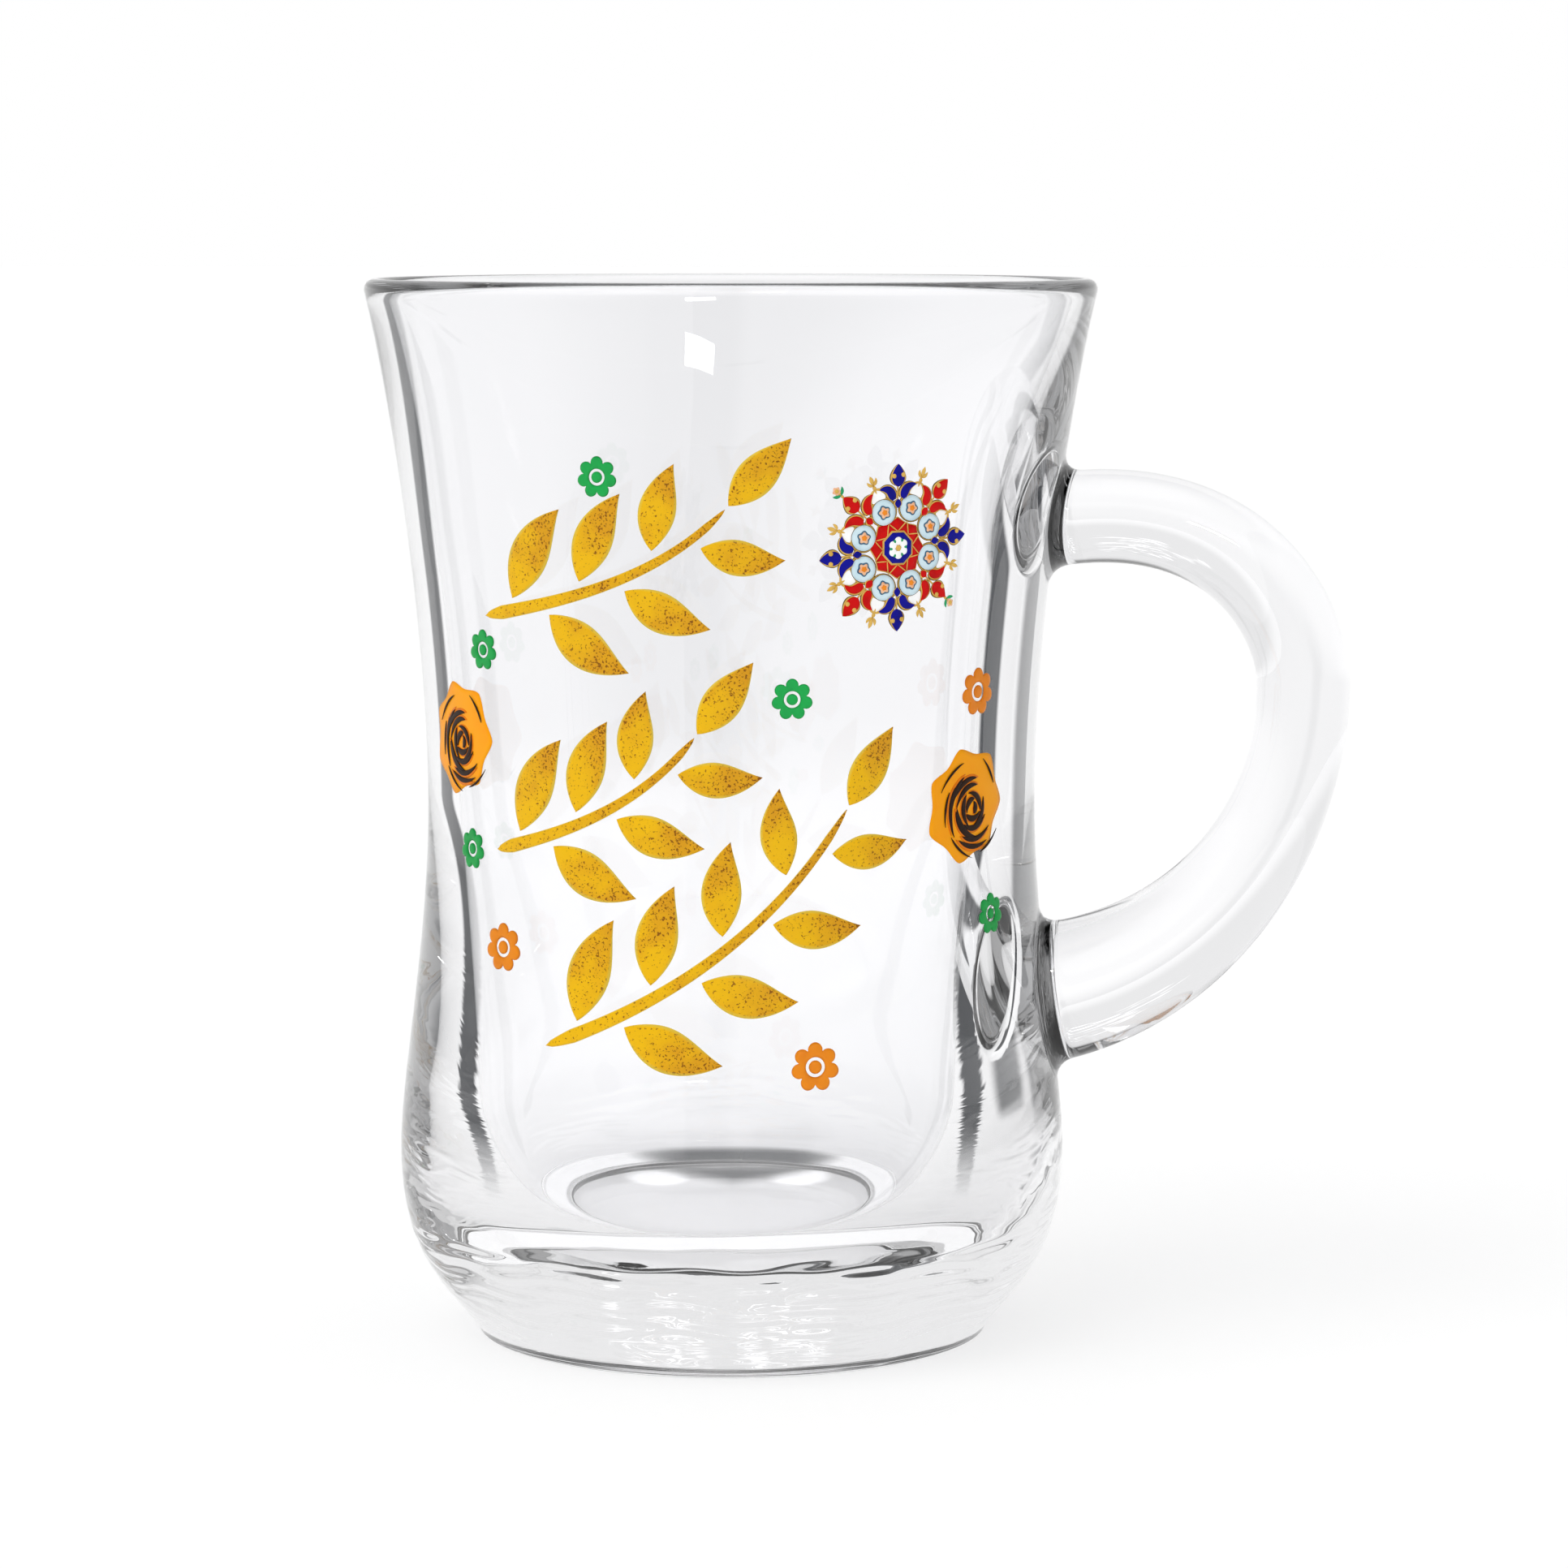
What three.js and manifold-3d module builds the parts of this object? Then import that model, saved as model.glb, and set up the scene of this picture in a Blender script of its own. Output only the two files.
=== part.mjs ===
// Tea glass with a handle: a waisted pressed-glass cup, its ear-shaped handle and the print on its front.
// Millimetres, +Z up. The origin is on the cup's axis in the plane it stands on, with the handle along +X.
import * as THREE from 'three';
import { mergeVertices } from 'three/addons/utils/BufferGeometryUtils.js';
import Module from 'manifold-3d';

// Cup, outside
const CUP_HEIGHT = 90;
const RIM_RADIUS = 31;
const RIM_FLARE = 0.24;
const LIP_RADIUS = 0.9;
const WAIST_RADIUS = 25.9;
const WAIST_HEIGHT = 46;
const BELLY_RADIUS = 28.45;
const BELLY_HEIGHT = 16;
const FOOT_RADIUS = 21.9;
const FOOT_HEIGHT = 1;
const FOOT_STEP = 0.35;
const FOOT_EDGE = 0.5;
const FOOT_RING_WIDTH = 5.3;
const HOLLOW_DEPTH = 0.6;

// Cup, inside: its walls, and how far above the waist the throat begins to open
const BASE_THICKNESS = 8.2;
const BELLY_WALL = 8.05;
const WAIST_WALL = 3.7;
const THROAT_RISE = 4;
const FLOOR_CORNER = 12.6;
const DISH_RADIUS = 12.5;
const DISH_DEPTH = 1.6;

// Handle: drops are measured down from the rim
const HANDLE_REACH = 52.5;
const HANDLE_THICKNESS = 7.9;
const HANDLE_WIDTH = 9.2;
const UPPER_ROOT_DROP = 21.1;
const UPPER_ROOT_SLOPE = 0.26;
const OUTERMOST_DROP = 33.9;
const LOWER_ROOT_HEIGHT = 28.8;
const LOWER_ROOT_SLOPE = 0.06;
const LOWER_ROOT_THICKNESS = 12.2;
const ROOT_FILLET = 1;
const ROOT_GAP = 0.3;

// Fullness of the curves: where their control points lie, as shares of the span that each curve covers
const BELLY_FULLNESS = { swell: 0.62, rise: 0.3, top: 0.52 };
const WAIST_FULLNESS = { belly: 0.2, waist: 0.4 };
const RIM_FULLNESS = { waist: 0.35, rim: 0.19 };
const THROAT_FULLNESS = { rim: 0.3, throat: 0.5 };
const HANDLE_FULLNESS = { upper: 0.77, above: 0.4, below: 0.53, lower: 0.59 };
const THICKENING_POWER = 3;

// Print: a flat sheet wrapped round the cup, with its lower edge at a drop from the rim
const PRINT_AZIMUTH = THREE.MathUtils.degToRad(-84);
const PRINT_DROP = 66;
const FILM_GAP = 0.15;
const FILM_THICKNESS = 0.15;

// Medallion and flowers: across is measured along the sheet from its middle, up from its lower edge
const MEDALLION = { across: 13.9, up: 44.7 };
const MEDALLION_RADIUS = 6.8;
const MEDALLION_EDGE = { palmettes: 8, palmette: 0.12, finial: 0.08 };
const FLOWER_EDGE = { petals: 7, notch: 0.3, roundness: 0.7 };
const GREEN_RADIUS = 1.7;
const GREEN_FLOWERS = [
  { across: -11, up: 50.5 },
  { across: 4.9, up: 32.6 },
  { across: -23.1, up: 35.9 },
  { across: -25.1, up: 19.2 },
  { across: 25, up: 13.8 },
];
const ORANGE_RADIUS = 2;
const ORANGE_FLOWERS = [
  { across: 6.8, up: 2.8 },
  { across: -20.8, up: 11.5 },
  { across: 23, up: 32.4 },
];
const ROSE_RADIUS = 5;
const ROSE_EDGE = { petals: 7, hollow: 0.13, lean: 0.035, sharpness: 0.8 };
const ROSE_LEFT = { across: -27, up: 28.3 };
const ROSE_RIGHT = { across: 21.9, up: 23.1 };

// Gold sprays: the controls of each stem's curve on the sheet, and its pairs of leaves
const STEM_WIDTH = 1.2;
const STEM_TAPER = 0.5;
const LEAF_LENGTH = 9.2;
const LEAF_WIDTH = 3.9;
const LEAF_SPREAD = THREE.MathUtils.degToRad(46);
const LEAF_BEND = 1.4;
const LEAF_CLEARANCE = 0.4;
const LEAF_SHRINK = 0.3;
const LEAF_SKEW = 0.85;
const TIP_LEAF_SIZE = 0.8;
const SPRAYS = [
  {
    from: { across: -22.5, up: 38.8 },
    leave: { across: -16, up: 40 },
    arrive: { across: -6.5, up: 41.5 },
    to: { across: -0.5, up: 48 },
    pairs: 3,
  },
  {
    from: { across: -21.5, up: 19.5 },
    leave: { across: -15.5, up: 21 },
    arrive: { across: -8, up: 23 },
    to: { across: -3, up: 29.5 },
    pairs: 3,
  },
  {
    from: { across: -16, up: 4 },
    leave: { across: -9, up: 6.5 },
    arrive: { across: 2, up: 11.5 },
    to: { across: 9.5, up: 23.5 },
    pairs: 4,
  },
];

// Facets
const CUP_FACETS = 60;
const CURVE_STEPS = 7;
const LIP_STEPS = 6;
const HANDLE_RINGS = 32;
const HANDLE_SIDES = 16;
const FLOWER_SPOKES = 6 * FLOWER_EDGE.petals;
const FLOWER_RINGS = 1;
const ROSE_SPOKES = 5 * ROSE_EDGE.petals;
const ROSE_RINGS = 4;
const MEDALLION_SPOKES = 8 * MEDALLION_EDGE.palmettes;
const MEDALLION_RINGS = 4;
const LEAF_STEPS = 7;
const STEM_STEPS = 12;
const MERGE_DISTANCE = 1e-4;

// Places that follow from the sizes
const FLOOR_RADIUS = BELLY_RADIUS - BELLY_WALL;
const THROAT_RADIUS = WAIST_RADIUS - WAIST_WALL;
const THROAT_HEIGHT = WAIST_HEIGHT + THROAT_RISE;
const RING_RADIUS = FOOT_RADIUS - FOOT_EDGE;
const UPPER_ROOT_HEIGHT = CUP_HEIGHT - UPPER_ROOT_DROP;
const OUTERMOST_HEIGHT = CUP_HEIGHT - OUTERMOST_DROP;
const PRINT_HEIGHT = CUP_HEIGHT - PRINT_DROP;
const LIP = {
  radius: RIM_RADIUS - LIP_RADIUS,
  height: CUP_HEIGHT - LIP_RADIUS,
  tilt: Math.atan(RIM_FLARE),
};

const wasm = await Module();
wasm.setup();

// The outside of the cup from the top of its foot ring to its lip: radius across, height up
function outsidePoints() {
  const lipRadius = LIP.radius + LIP_RADIUS * Math.cos(LIP.tilt);
  const lipHeight = LIP.height - LIP_RADIUS * Math.sin(LIP.tilt);
  const footTop = FOOT_RADIUS + FOOT_STEP;
  const swell = BELLY_RADIUS - footTop;
  const bellyRise = BELLY_HEIGHT - FOOT_HEIGHT;
  const waistRise = WAIST_HEIGHT - BELLY_HEIGHT;
  const rimRise = lipHeight - WAIST_HEIGHT;
  const flareRise = rimRise * RIM_FULLNESS.rim;
  const curve = new THREE.Path();
  curve.moveTo(footTop, FOOT_HEIGHT);
  curve.bezierCurveTo(
    footTop + swell * BELLY_FULLNESS.swell, FOOT_HEIGHT + bellyRise * BELLY_FULLNESS.rise,
    BELLY_RADIUS, BELLY_HEIGHT - bellyRise * BELLY_FULLNESS.top,
    BELLY_RADIUS, BELLY_HEIGHT,
  );
  curve.bezierCurveTo(
    BELLY_RADIUS, BELLY_HEIGHT + waistRise * WAIST_FULLNESS.belly,
    WAIST_RADIUS, WAIST_HEIGHT - waistRise * WAIST_FULLNESS.waist,
    WAIST_RADIUS, WAIST_HEIGHT,
  );
  curve.bezierCurveTo(
    WAIST_RADIUS, WAIST_HEIGHT + rimRise * RIM_FULLNESS.waist,
    lipRadius - RIM_FLARE * flareRise, lipHeight - flareRise,
    lipRadius, lipHeight,
  );
  return curve.getPoints(CURVE_STEPS);
}

// The round lip, flared throat, tapered lower wall, round corner and dished floor, from the lip to the axis
function insidePoints() {
  const rimRadius = LIP.radius - LIP_RADIUS * Math.cos(LIP.tilt);
  const rimHeight = LIP.height + LIP_RADIUS * Math.sin(LIP.tilt);
  const drop = rimHeight - THROAT_HEIGHT;
  const flareDrop = drop * THROAT_FULLNESS.rim;
  const throatRise = drop * THROAT_FULLNESS.throat;
  const taper = (THROAT_RADIUS - FLOOR_RADIUS) / (THROAT_HEIGHT - BASE_THICKNESS);
  const dishTop = BASE_THICKNESS + DISH_DEPTH;
  const dishSlope = (2 * DISH_DEPTH) / DISH_RADIUS;
  const kneeHeight = dishTop + dishSlope * (FLOOR_RADIUS - DISH_RADIUS);
  const lip = new THREE.EllipseCurve(
    LIP.radius, LIP.height,
    LIP_RADIUS, LIP_RADIUS,
    -LIP.tilt, Math.PI - LIP.tilt,
  );
  const wall = new THREE.Path();
  wall.moveTo(rimRadius, rimHeight);
  wall.bezierCurveTo(
    rimRadius - RIM_FLARE * flareDrop, rimHeight - flareDrop,
    THROAT_RADIUS + taper * throatRise, THROAT_HEIGHT + throatRise,
    THROAT_RADIUS, THROAT_HEIGHT,
  );
  wall.lineTo(FLOOR_RADIUS + taper * FLOOR_CORNER, BASE_THICKNESS + FLOOR_CORNER);
  wall.quadraticCurveTo(FLOOR_RADIUS, kneeHeight, DISH_RADIUS, dishTop);
  wall.quadraticCurveTo(DISH_RADIUS / 2, BASE_THICKNESS, 0, BASE_THICKNESS);
  return [...lip.getPoints(LIP_STEPS).slice(1, -1), ...wall.getPoints(CURVE_STEPS)];
}

// The underside, from the axis outwards: a shallow hollow, the ring that the cup stands on and its edge
function undersidePoints() {
  const ringInside = RING_RADIUS - FOOT_RING_WIDTH;
  return [
    new THREE.Vector2(0, HOLLOW_DEPTH),
    new THREE.Vector2(ringInside - HOLLOW_DEPTH, HOLLOW_DEPTH),
    new THREE.Vector2(ringInside, 0),
    new THREE.Vector2(RING_RADIUS, 0),
    new THREE.Vector2(FOOT_RADIUS, FOOT_EDGE),
    new THREE.Vector2(FOOT_RADIUS, FOOT_HEIGHT),
  ];
}

const outside = outsidePoints();

// The cup's outer radius at a height
function cupRadius(height) {
  const above = outside.findIndex((point) => point.y > height);
  if (above === 0) {
    return outside[0].x;
  }
  if (above < 0) {
    return outside.at(-1).x;
  }
  const low = outside[above - 1];
  const high = outside[above];
  return THREE.MathUtils.mapLinear(height, low.y, high.y, low.x, high.x);
}

// A solid of revolution about Z
function revolve(profile) {
  return new THREE.LatheGeometry(profile, CUP_FACETS).rotateX(Math.PI / 2);
}

// A geometry from flat lists of coordinates and corner numbers
function indexedGeometry(coordinates, corners) {
  const geometry = new THREE.BufferGeometry();
  geometry.setAttribute('position', new THREE.BufferAttribute(new Float32Array(coordinates), 3));
  geometry.setIndex(Array.from(corners));
  geometry.computeVertexNormals();
  return geometry;
}

// The boolean solid of a closed geometry, without the flat triangles that a profile leaves on its axis
function solidOf(geometry) {
  const bare = geometry.clone();
  bare.deleteAttribute('normal');
  bare.deleteAttribute('uv');
  const merged = mergeVertices(bare, MERGE_DISTANCE);
  const all = merged.index.array;
  const corners = [];
  for (let i = 0; i < all.length; i += 3) {
    const [a, b, c] = all.slice(i, i + 3);
    if (a !== b && b !== c && c !== a) {
      corners.push(a, b, c);
    }
  }
  return new wasm.Manifold(new wasm.Mesh({
    numProp: 3,
    vertProperties: new Float32Array(merged.attributes.position.array),
    triVerts: new Uint32Array(corners),
  }));
}

// The end of the handle's middle line at a root, half a thickness inside the cup's wall
function rootPoint(height) {
  return new THREE.Vector3(cupRadius(height) - HANDLE_THICKNESS / 2, 0, height);
}

// The middle line of the handle, from inside the upper wall round to inside the lower wall
function handlePath() {
  const upper = rootPoint(UPPER_ROOT_HEIGHT);
  const lower = rootPoint(LOWER_ROOT_HEIGHT);
  const middle = new THREE.Vector3(HANDLE_REACH - HANDLE_THICKNESS / 2, 0, OUTERMOST_HEIGHT);
  const upperRun = (middle.x - upper.x) * HANDLE_FULLNESS.upper;
  const lowerRun = (middle.x - lower.x) * HANDLE_FULLNESS.lower;
  const above = (upper.z - middle.z) * HANDLE_FULLNESS.above;
  const below = (middle.z - lower.z) * HANDLE_FULLNESS.below;
  const up = new THREE.Vector3(0, 0, 1);
  const path = new THREE.CurvePath();
  path.add(new THREE.CubicBezierCurve3(
    upper,
    new THREE.Vector3(upper.x + upperRun, 0, upper.z + UPPER_ROOT_SLOPE * upperRun),
    middle.clone().addScaledVector(up, above),
    middle,
  ));
  path.add(new THREE.CubicBezierCurve3(
    middle,
    middle.clone().addScaledVector(up, -below),
    new THREE.Vector3(lower.x + lowerRun, 0, lower.z + LOWER_ROOT_SLOPE * lowerRun),
    lower,
  ));
  return path;
}

// How much the handle grows at a point: thicker towards its lower root, and fuller all round at each wall
function handleGrowth(point) {
  const share = (OUTERMOST_HEIGHT - point.z) / (OUTERMOST_HEIGHT - LOWER_ROOT_HEIGHT);
  const fall = THREE.MathUtils.clamp(share, 0, 1);
  const distance = (point.x - cupRadius(point.z)) / (2 * ROOT_FILLET);
  const near = THREE.MathUtils.clamp(1 - distance, 0, 1);
  const thickening = (LOWER_ROOT_THICKNESS - HANDLE_THICKNESS) * fall ** THICKENING_POWER;
  const fillet = 2 * ROOT_FILLET * near ** 2;
  return { thickness: thickening + fillet, width: fillet };
}

// An oval section swept along the middle line
function handleSweep() {
  const path = handlePath();
  const coordinates = [];
  const corners = [];
  for (let ring = 0; ring <= HANDLE_RINGS; ring += 1) {
    const middle = path.getPointAt(ring / HANDLE_RINGS);
    const along = path.getTangentAt(ring / HANDLE_RINGS);
    const growth = handleGrowth(middle);
    for (let side = 0; side < HANDLE_SIDES; side += 1) {
      const turn = (2 * Math.PI * side) / HANDLE_SIDES;
      const inwards = ((HANDLE_THICKNESS + growth.thickness) / 2) * Math.cos(turn);
      const sideways = ((HANDLE_WIDTH + growth.width) / 2) * Math.sin(turn);
      coordinates.push(middle.x + along.z * inwards, sideways, middle.z - along.x * inwards);
      if (ring < HANDLE_RINGS) {
        const a = ring * HANDLE_SIDES + side;
        const b = ring * HANDLE_SIDES + ((side + 1) % HANDLE_SIDES);
        corners.push(a, b, b + HANDLE_SIDES, a, b + HANDLE_SIDES, a + HANDLE_SIDES);
      }
    }
  }
  const last = HANDLE_RINGS * HANDLE_SIDES;
  for (let side = 1; side < HANDLE_SIDES - 1; side += 1) {
    corners.push(0, side + 1, side, last, last + side, last + side + 1);
  }
  return indexedGeometry(coordinates, corners);
}

// The sweep, with its two roots cut to the cup's wall
function handleGeometry() {
  const wall = outside.map((point) => new THREE.Vector2(point.x + ROOT_GAP, point.y));
  const bottom = new THREE.Vector2(0, wall[0].y);
  const top = new THREE.Vector2(0, wall.at(-1).y);
  const cutter = revolve([bottom, ...wall, top]);
  const cut = solidOf(handleSweep()).subtract(solidOf(cutter)).getMesh();
  return indexedGeometry(cut.vertProperties, cut.triVerts);
}

// A patch is a flat piece of film: its points on the sheet, its triangles and the numbers of its edge points

// A round patch about a place, whose edge lies at a radius that depends on the direction
function roundPatch(place, edgeRadius, spokes, rings) {
  const points = [[place.across, place.up]];
  const triangles = [];
  const edge = [];
  for (let ring = 1; ring <= rings; ring += 1) {
    const outer = 1 + (ring - 1) * spokes;
    const inner = outer - spokes;
    for (let spoke = 0; spoke < spokes; spoke += 1) {
      const turn = (2 * Math.PI * spoke) / spokes;
      const radius = (edgeRadius(turn) * ring) / rings;
      const next = (spoke + 1) % spokes;
      points.push([place.across + radius * Math.cos(turn), place.up + radius * Math.sin(turn)]);
      if (ring === 1) {
        triangles.push([0, outer + spoke, outer + next]);
      } else {
        triangles.push([inner + spoke, outer + spoke, outer + next]);
        triangles.push([inner + spoke, outer + next, inner + next]);
      }
      if (ring === rings) {
        edge.push(outer + spoke);
      }
    }
  }
  return { points, triangles, edge };
}

// A patch along a curve, pointed at both ends, whose half width depends on the share of its length
function ribbonPatch(curve, halfWidth, steps) {
  const start = curve.getPoint(0);
  const end = curve.getPoint(1);
  const points = [[start.x, start.y], [end.x, end.y]];
  const left = [];
  const right = [];
  for (let step = 1; step < steps; step += 1) {
    const middle = curve.getPointAt(step / steps);
    const along = curve.getTangentAt(step / steps);
    const half = halfWidth(step / steps);
    left.push(points.length);
    right.push(points.length + 1);
    points.push([middle.x - along.y * half, middle.y + along.x * half]);
    points.push([middle.x + along.y * half, middle.y - along.x * half]);
  }
  const triangles = [[0, right[0], left[0]], [left.at(-1), right.at(-1), 1]];
  for (let i = 0; i + 1 < left.length; i += 1) {
    triangles.push([left[i], right[i], right[i + 1]], [left[i], right[i + 1], left[i + 1]]);
  }
  return { points, triangles, edge: [0, ...right, 1, ...left.reverse()] };
}

// A patch wrapped round the cup and given its thickness
function filmGeometry(patch) {
  const coordinates = [];
  const corners = [];
  const count = patch.points.length;
  for (const lift of [FILM_GAP, FILM_GAP + FILM_THICKNESS]) {
    for (const [across, up] of patch.points) {
      const height = PRINT_HEIGHT + up;
      const wall = cupRadius(height);
      const radius = wall + lift;
      const azimuth = PRINT_AZIMUTH + across / wall;
      coordinates.push(radius * Math.cos(azimuth), radius * Math.sin(azimuth), height);
    }
  }
  for (const [a, b, c] of patch.triangles) {
    corners.push(a, c, b, count + a, count + b, count + c);
  }
  patch.edge.forEach((here, i) => {
    const next = patch.edge[(i + 1) % patch.edge.length];
    corners.push(here, next, count + next, here, count + next, count + here);
  });
  return indexedGeometry(coordinates, corners);
}

// A small flower of round petals with narrow notches, the first petal upright
function flowerPatch(place, radius) {
  const { petals, notch, roundness } = FLOWER_EDGE;
  const edge = (turn) => {
    const wave = Math.abs(Math.cos((petals / 2) * (turn - Math.PI / 2)));
    return radius * (1 - notch * (1 - wave ** roundness));
  };
  return roundPatch(place, edge, FLOWER_SPOKES, FLOWER_RINGS);
}

// A full rose with pointed petals, a little longer to two sides
function rosePatch(place) {
  const { petals, hollow, lean, sharpness } = ROSE_EDGE;
  const edge = (turn) => {
    const between = Math.abs(Math.sin((petals / 2) * turn)) ** sharpness;
    return ROSE_RADIUS * (1 - hollow * between - lean * (1 - Math.sin(2 * turn)));
  };
  return roundPatch(place, edge, ROSE_SPOKES, ROSE_RINGS);
}

// A medallion of palmettes, with a small finial between each two
function medallionPatch(place) {
  const { palmettes, palmette, finial } = MEDALLION_EDGE;
  const edge = (turn) => {
    const wave = palmette * Math.cos(palmettes * turn) + finial * Math.cos(2 * palmettes * turn);
    return MEDALLION_RADIUS * (1 - palmette - finial + wave);
  };
  return roundPatch(place, edge, MEDALLION_SPOKES, MEDALLION_RINGS);
}

// The curve of a spray's stem
function stemCurve(spray) {
  const controls = [spray.from, spray.leave, spray.arrive, spray.to];
  return new THREE.CubicBezierCurve(...controls.map(({ across, up }) => new THREE.Vector2(across, up)));
}

// A stem that thins towards its tip
function stemPatch(stem) {
  const halfWidth = (share) => (STEM_WIDTH / 2) * (1 - STEM_TAPER * share);
  return ribbonPatch(stem, halfWidth, STEM_STEPS);
}

// One bent leaf at a share of the stem's length, on one side of it: 1 left, -1 right, 0 straight ahead
function leafPatch(stem, share, side, size) {
  const along = stem.getTangentAt(share);
  const aside = new THREE.Vector2(-along.y, along.x).multiplyScalar(side);
  const clear = side === 0
    ? along.clone().multiplyScalar(LEAF_CLEARANCE)
    : aside.clone().multiplyScalar(STEM_WIDTH / 2 + LEAF_CLEARANCE);
  const start = stem.getPointAt(share).add(clear);
  const heading = along.clone().rotateAround(new THREE.Vector2(), side * LEAF_SPREAD);
  const end = start.clone().addScaledVector(heading, LEAF_LENGTH * size);
  const middle = start.clone().lerp(end, 0.5).addScaledVector(aside, LEAF_BEND * size);
  const curve = new THREE.QuadraticBezierCurve(start, middle, end);
  const halfWidth = (part) => (LEAF_WIDTH / 2) * size * Math.sin(Math.PI * part ** LEAF_SKEW);
  return ribbonPatch(curve, halfWidth, LEAF_STEPS);
}

const CLEAR = { color: 0xeaf0f3, roughness: 0.04, metalness: 0, transparent: true, opacity: 0.35 };
const GOLD = { color: 0xd9a514, roughness: 0.45, metalness: 0.35 };
const GREEN = { color: 0x0fa24a, roughness: 0.4, metalness: 0 };
const ORANGE = { color: 0xef8c1a, roughness: 0.4, metalness: 0 };
const ROSE = { color: 0xf29418, roughness: 0.45, metalness: 0 };
const NAVY = { color: 0x23288c, roughness: 0.4, metalness: 0 };

const teaGlass = new THREE.Group();

function addPiece(name, geometry, finish) {
  const piece = new THREE.Mesh(geometry, new THREE.MeshStandardMaterial(finish));
  piece.name = name;
  teaGlass.add(piece);
}

function addFilm(name, patch, finish) {
  addPiece(name, filmGeometry(patch), finish);
}

function addFlowers(colour, places, radius, finish) {
  places.forEach((place, i) => {
    addFilm(`${colour}_flower_${i + 1}`, flowerPatch(place, radius), finish);
  });
}

// A spray: its stem, its leaves to left and right in turn, smaller towards the tip, and the leaf at its tip
function addSpray(number, spray) {
  const stem = stemCurve(spray);
  const leaves = 2 * spray.pairs;
  addFilm(`gold_stem_${number}`, stemPatch(stem), GOLD);
  for (let leaf = 1; leaf <= leaves; leaf += 1) {
    const share = leaf / (leaves + 1);
    const side = leaf % 2 === 0 ? -1 : 1;
    const size = 1 - LEAF_SHRINK * share;
    addFilm(`gold_leaf_${number}_${leaf}`, leafPatch(stem, share, side, size), GOLD);
  }
  addFilm(`gold_leaf_${number}_tip`, leafPatch(stem, 1, 0, TIP_LEAF_SIZE), GOLD);
}

addPiece('glass_body', revolve([...undersidePoints(), ...outside, ...insidePoints()]), CLEAR);
addPiece('handle', handleGeometry(), CLEAR);
addFilm('medallion', medallionPatch(MEDALLION), NAVY);
addFlowers('green', GREEN_FLOWERS, GREEN_RADIUS, GREEN);
addFlowers('orange', ORANGE_FLOWERS, ORANGE_RADIUS, ORANGE);
addFilm('rose_left', rosePatch(ROSE_LEFT), ROSE);
addFilm('rose_right', rosePatch(ROSE_RIGHT), ROSE);
SPRAYS.forEach((spray, i) => addSpray(i + 1, spray));

export default teaGlass;
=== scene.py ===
# Tea glass with a handle: one smooth body of clear glass, its printed films, a white floor and studio light.
import bisect
from math import atan, cos, exp, hypot, pi, radians, sin

import bmesh
import bpy
from mathutils import Matrix, Vector, noise


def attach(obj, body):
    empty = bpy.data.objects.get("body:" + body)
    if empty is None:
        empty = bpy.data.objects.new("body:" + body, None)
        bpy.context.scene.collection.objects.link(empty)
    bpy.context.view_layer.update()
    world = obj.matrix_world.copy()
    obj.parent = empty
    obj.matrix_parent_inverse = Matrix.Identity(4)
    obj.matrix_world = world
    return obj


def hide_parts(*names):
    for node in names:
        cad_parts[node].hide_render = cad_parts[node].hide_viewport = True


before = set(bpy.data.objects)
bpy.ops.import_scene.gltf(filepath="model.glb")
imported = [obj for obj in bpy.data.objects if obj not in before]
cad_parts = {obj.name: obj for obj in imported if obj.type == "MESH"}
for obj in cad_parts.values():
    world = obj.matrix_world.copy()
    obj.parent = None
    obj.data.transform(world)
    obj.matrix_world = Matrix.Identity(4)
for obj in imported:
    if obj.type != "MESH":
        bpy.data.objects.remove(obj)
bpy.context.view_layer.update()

MM = 0.001
DEGREE = radians(1)

# Cup, outside, in millimetres: the solids' own sizes, and how full its curves are
CUP_HEIGHT = 90
RIM_RADIUS = 31
RIM_FLARE = 0.24
LIP_RADIUS = 0.9
WAIST_RADIUS = 25.9
WAIST_HEIGHT = 46
BELLY_RADIUS = 28.45
BELLY_HEIGHT = 16
FOOT_RADIUS = 21.9
FOOT_HEIGHT = 1
FOOT_STEP = 0.35
FOOT_EDGE = 0.5
FOOT_RING_WIDTH = 5.3
HOLLOW_DEPTH = 0.6
HOLLOW_TURNS = (0.5, 1.0, pi / 2)
BELLY_FULLNESS = {"swell": 0.62, "rise": 0.3, "top": 0.52}
WAIST_FULLNESS = {"belly": 0.2, "waist": 0.4}
RIM_FULLNESS = {"waist": 0.35, "rim": 0.19}

# Cup, inside: the cavity sits a little off the axis, less so near the rim
BASE_THICKNESS = 8.6
FLOOR_RADIUS = 20.4
FLOOR_CORNER = 12.6
DISH_RADIUS = 13.2
DISH_DEPTH = 0.6
THROAT_RADIUS = 22.2
THROAT_HEIGHT = 50
THROAT_FULLNESS = {"rim": 0.3, "throat": 0.5}
CAVITY_SHIFT = -0.9
SHIFT_TOP = 87
SHIFT_FADE = 22

# Chilled skin of the lower glass: ripples (wide, tall), bent by longer waves
WRINKLE_DEPTH = 0.06
WRINKLE_SIZE = (5, 0.75)
WRINKLE_TOP = 13
WRINKLE_FADE = 4
WARP = 1.4
WARP_SIZE = (9, 7)
FAINT_TOP = 32
FAINT_FADE = 14
FAINT_SHARE = 0.05

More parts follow.
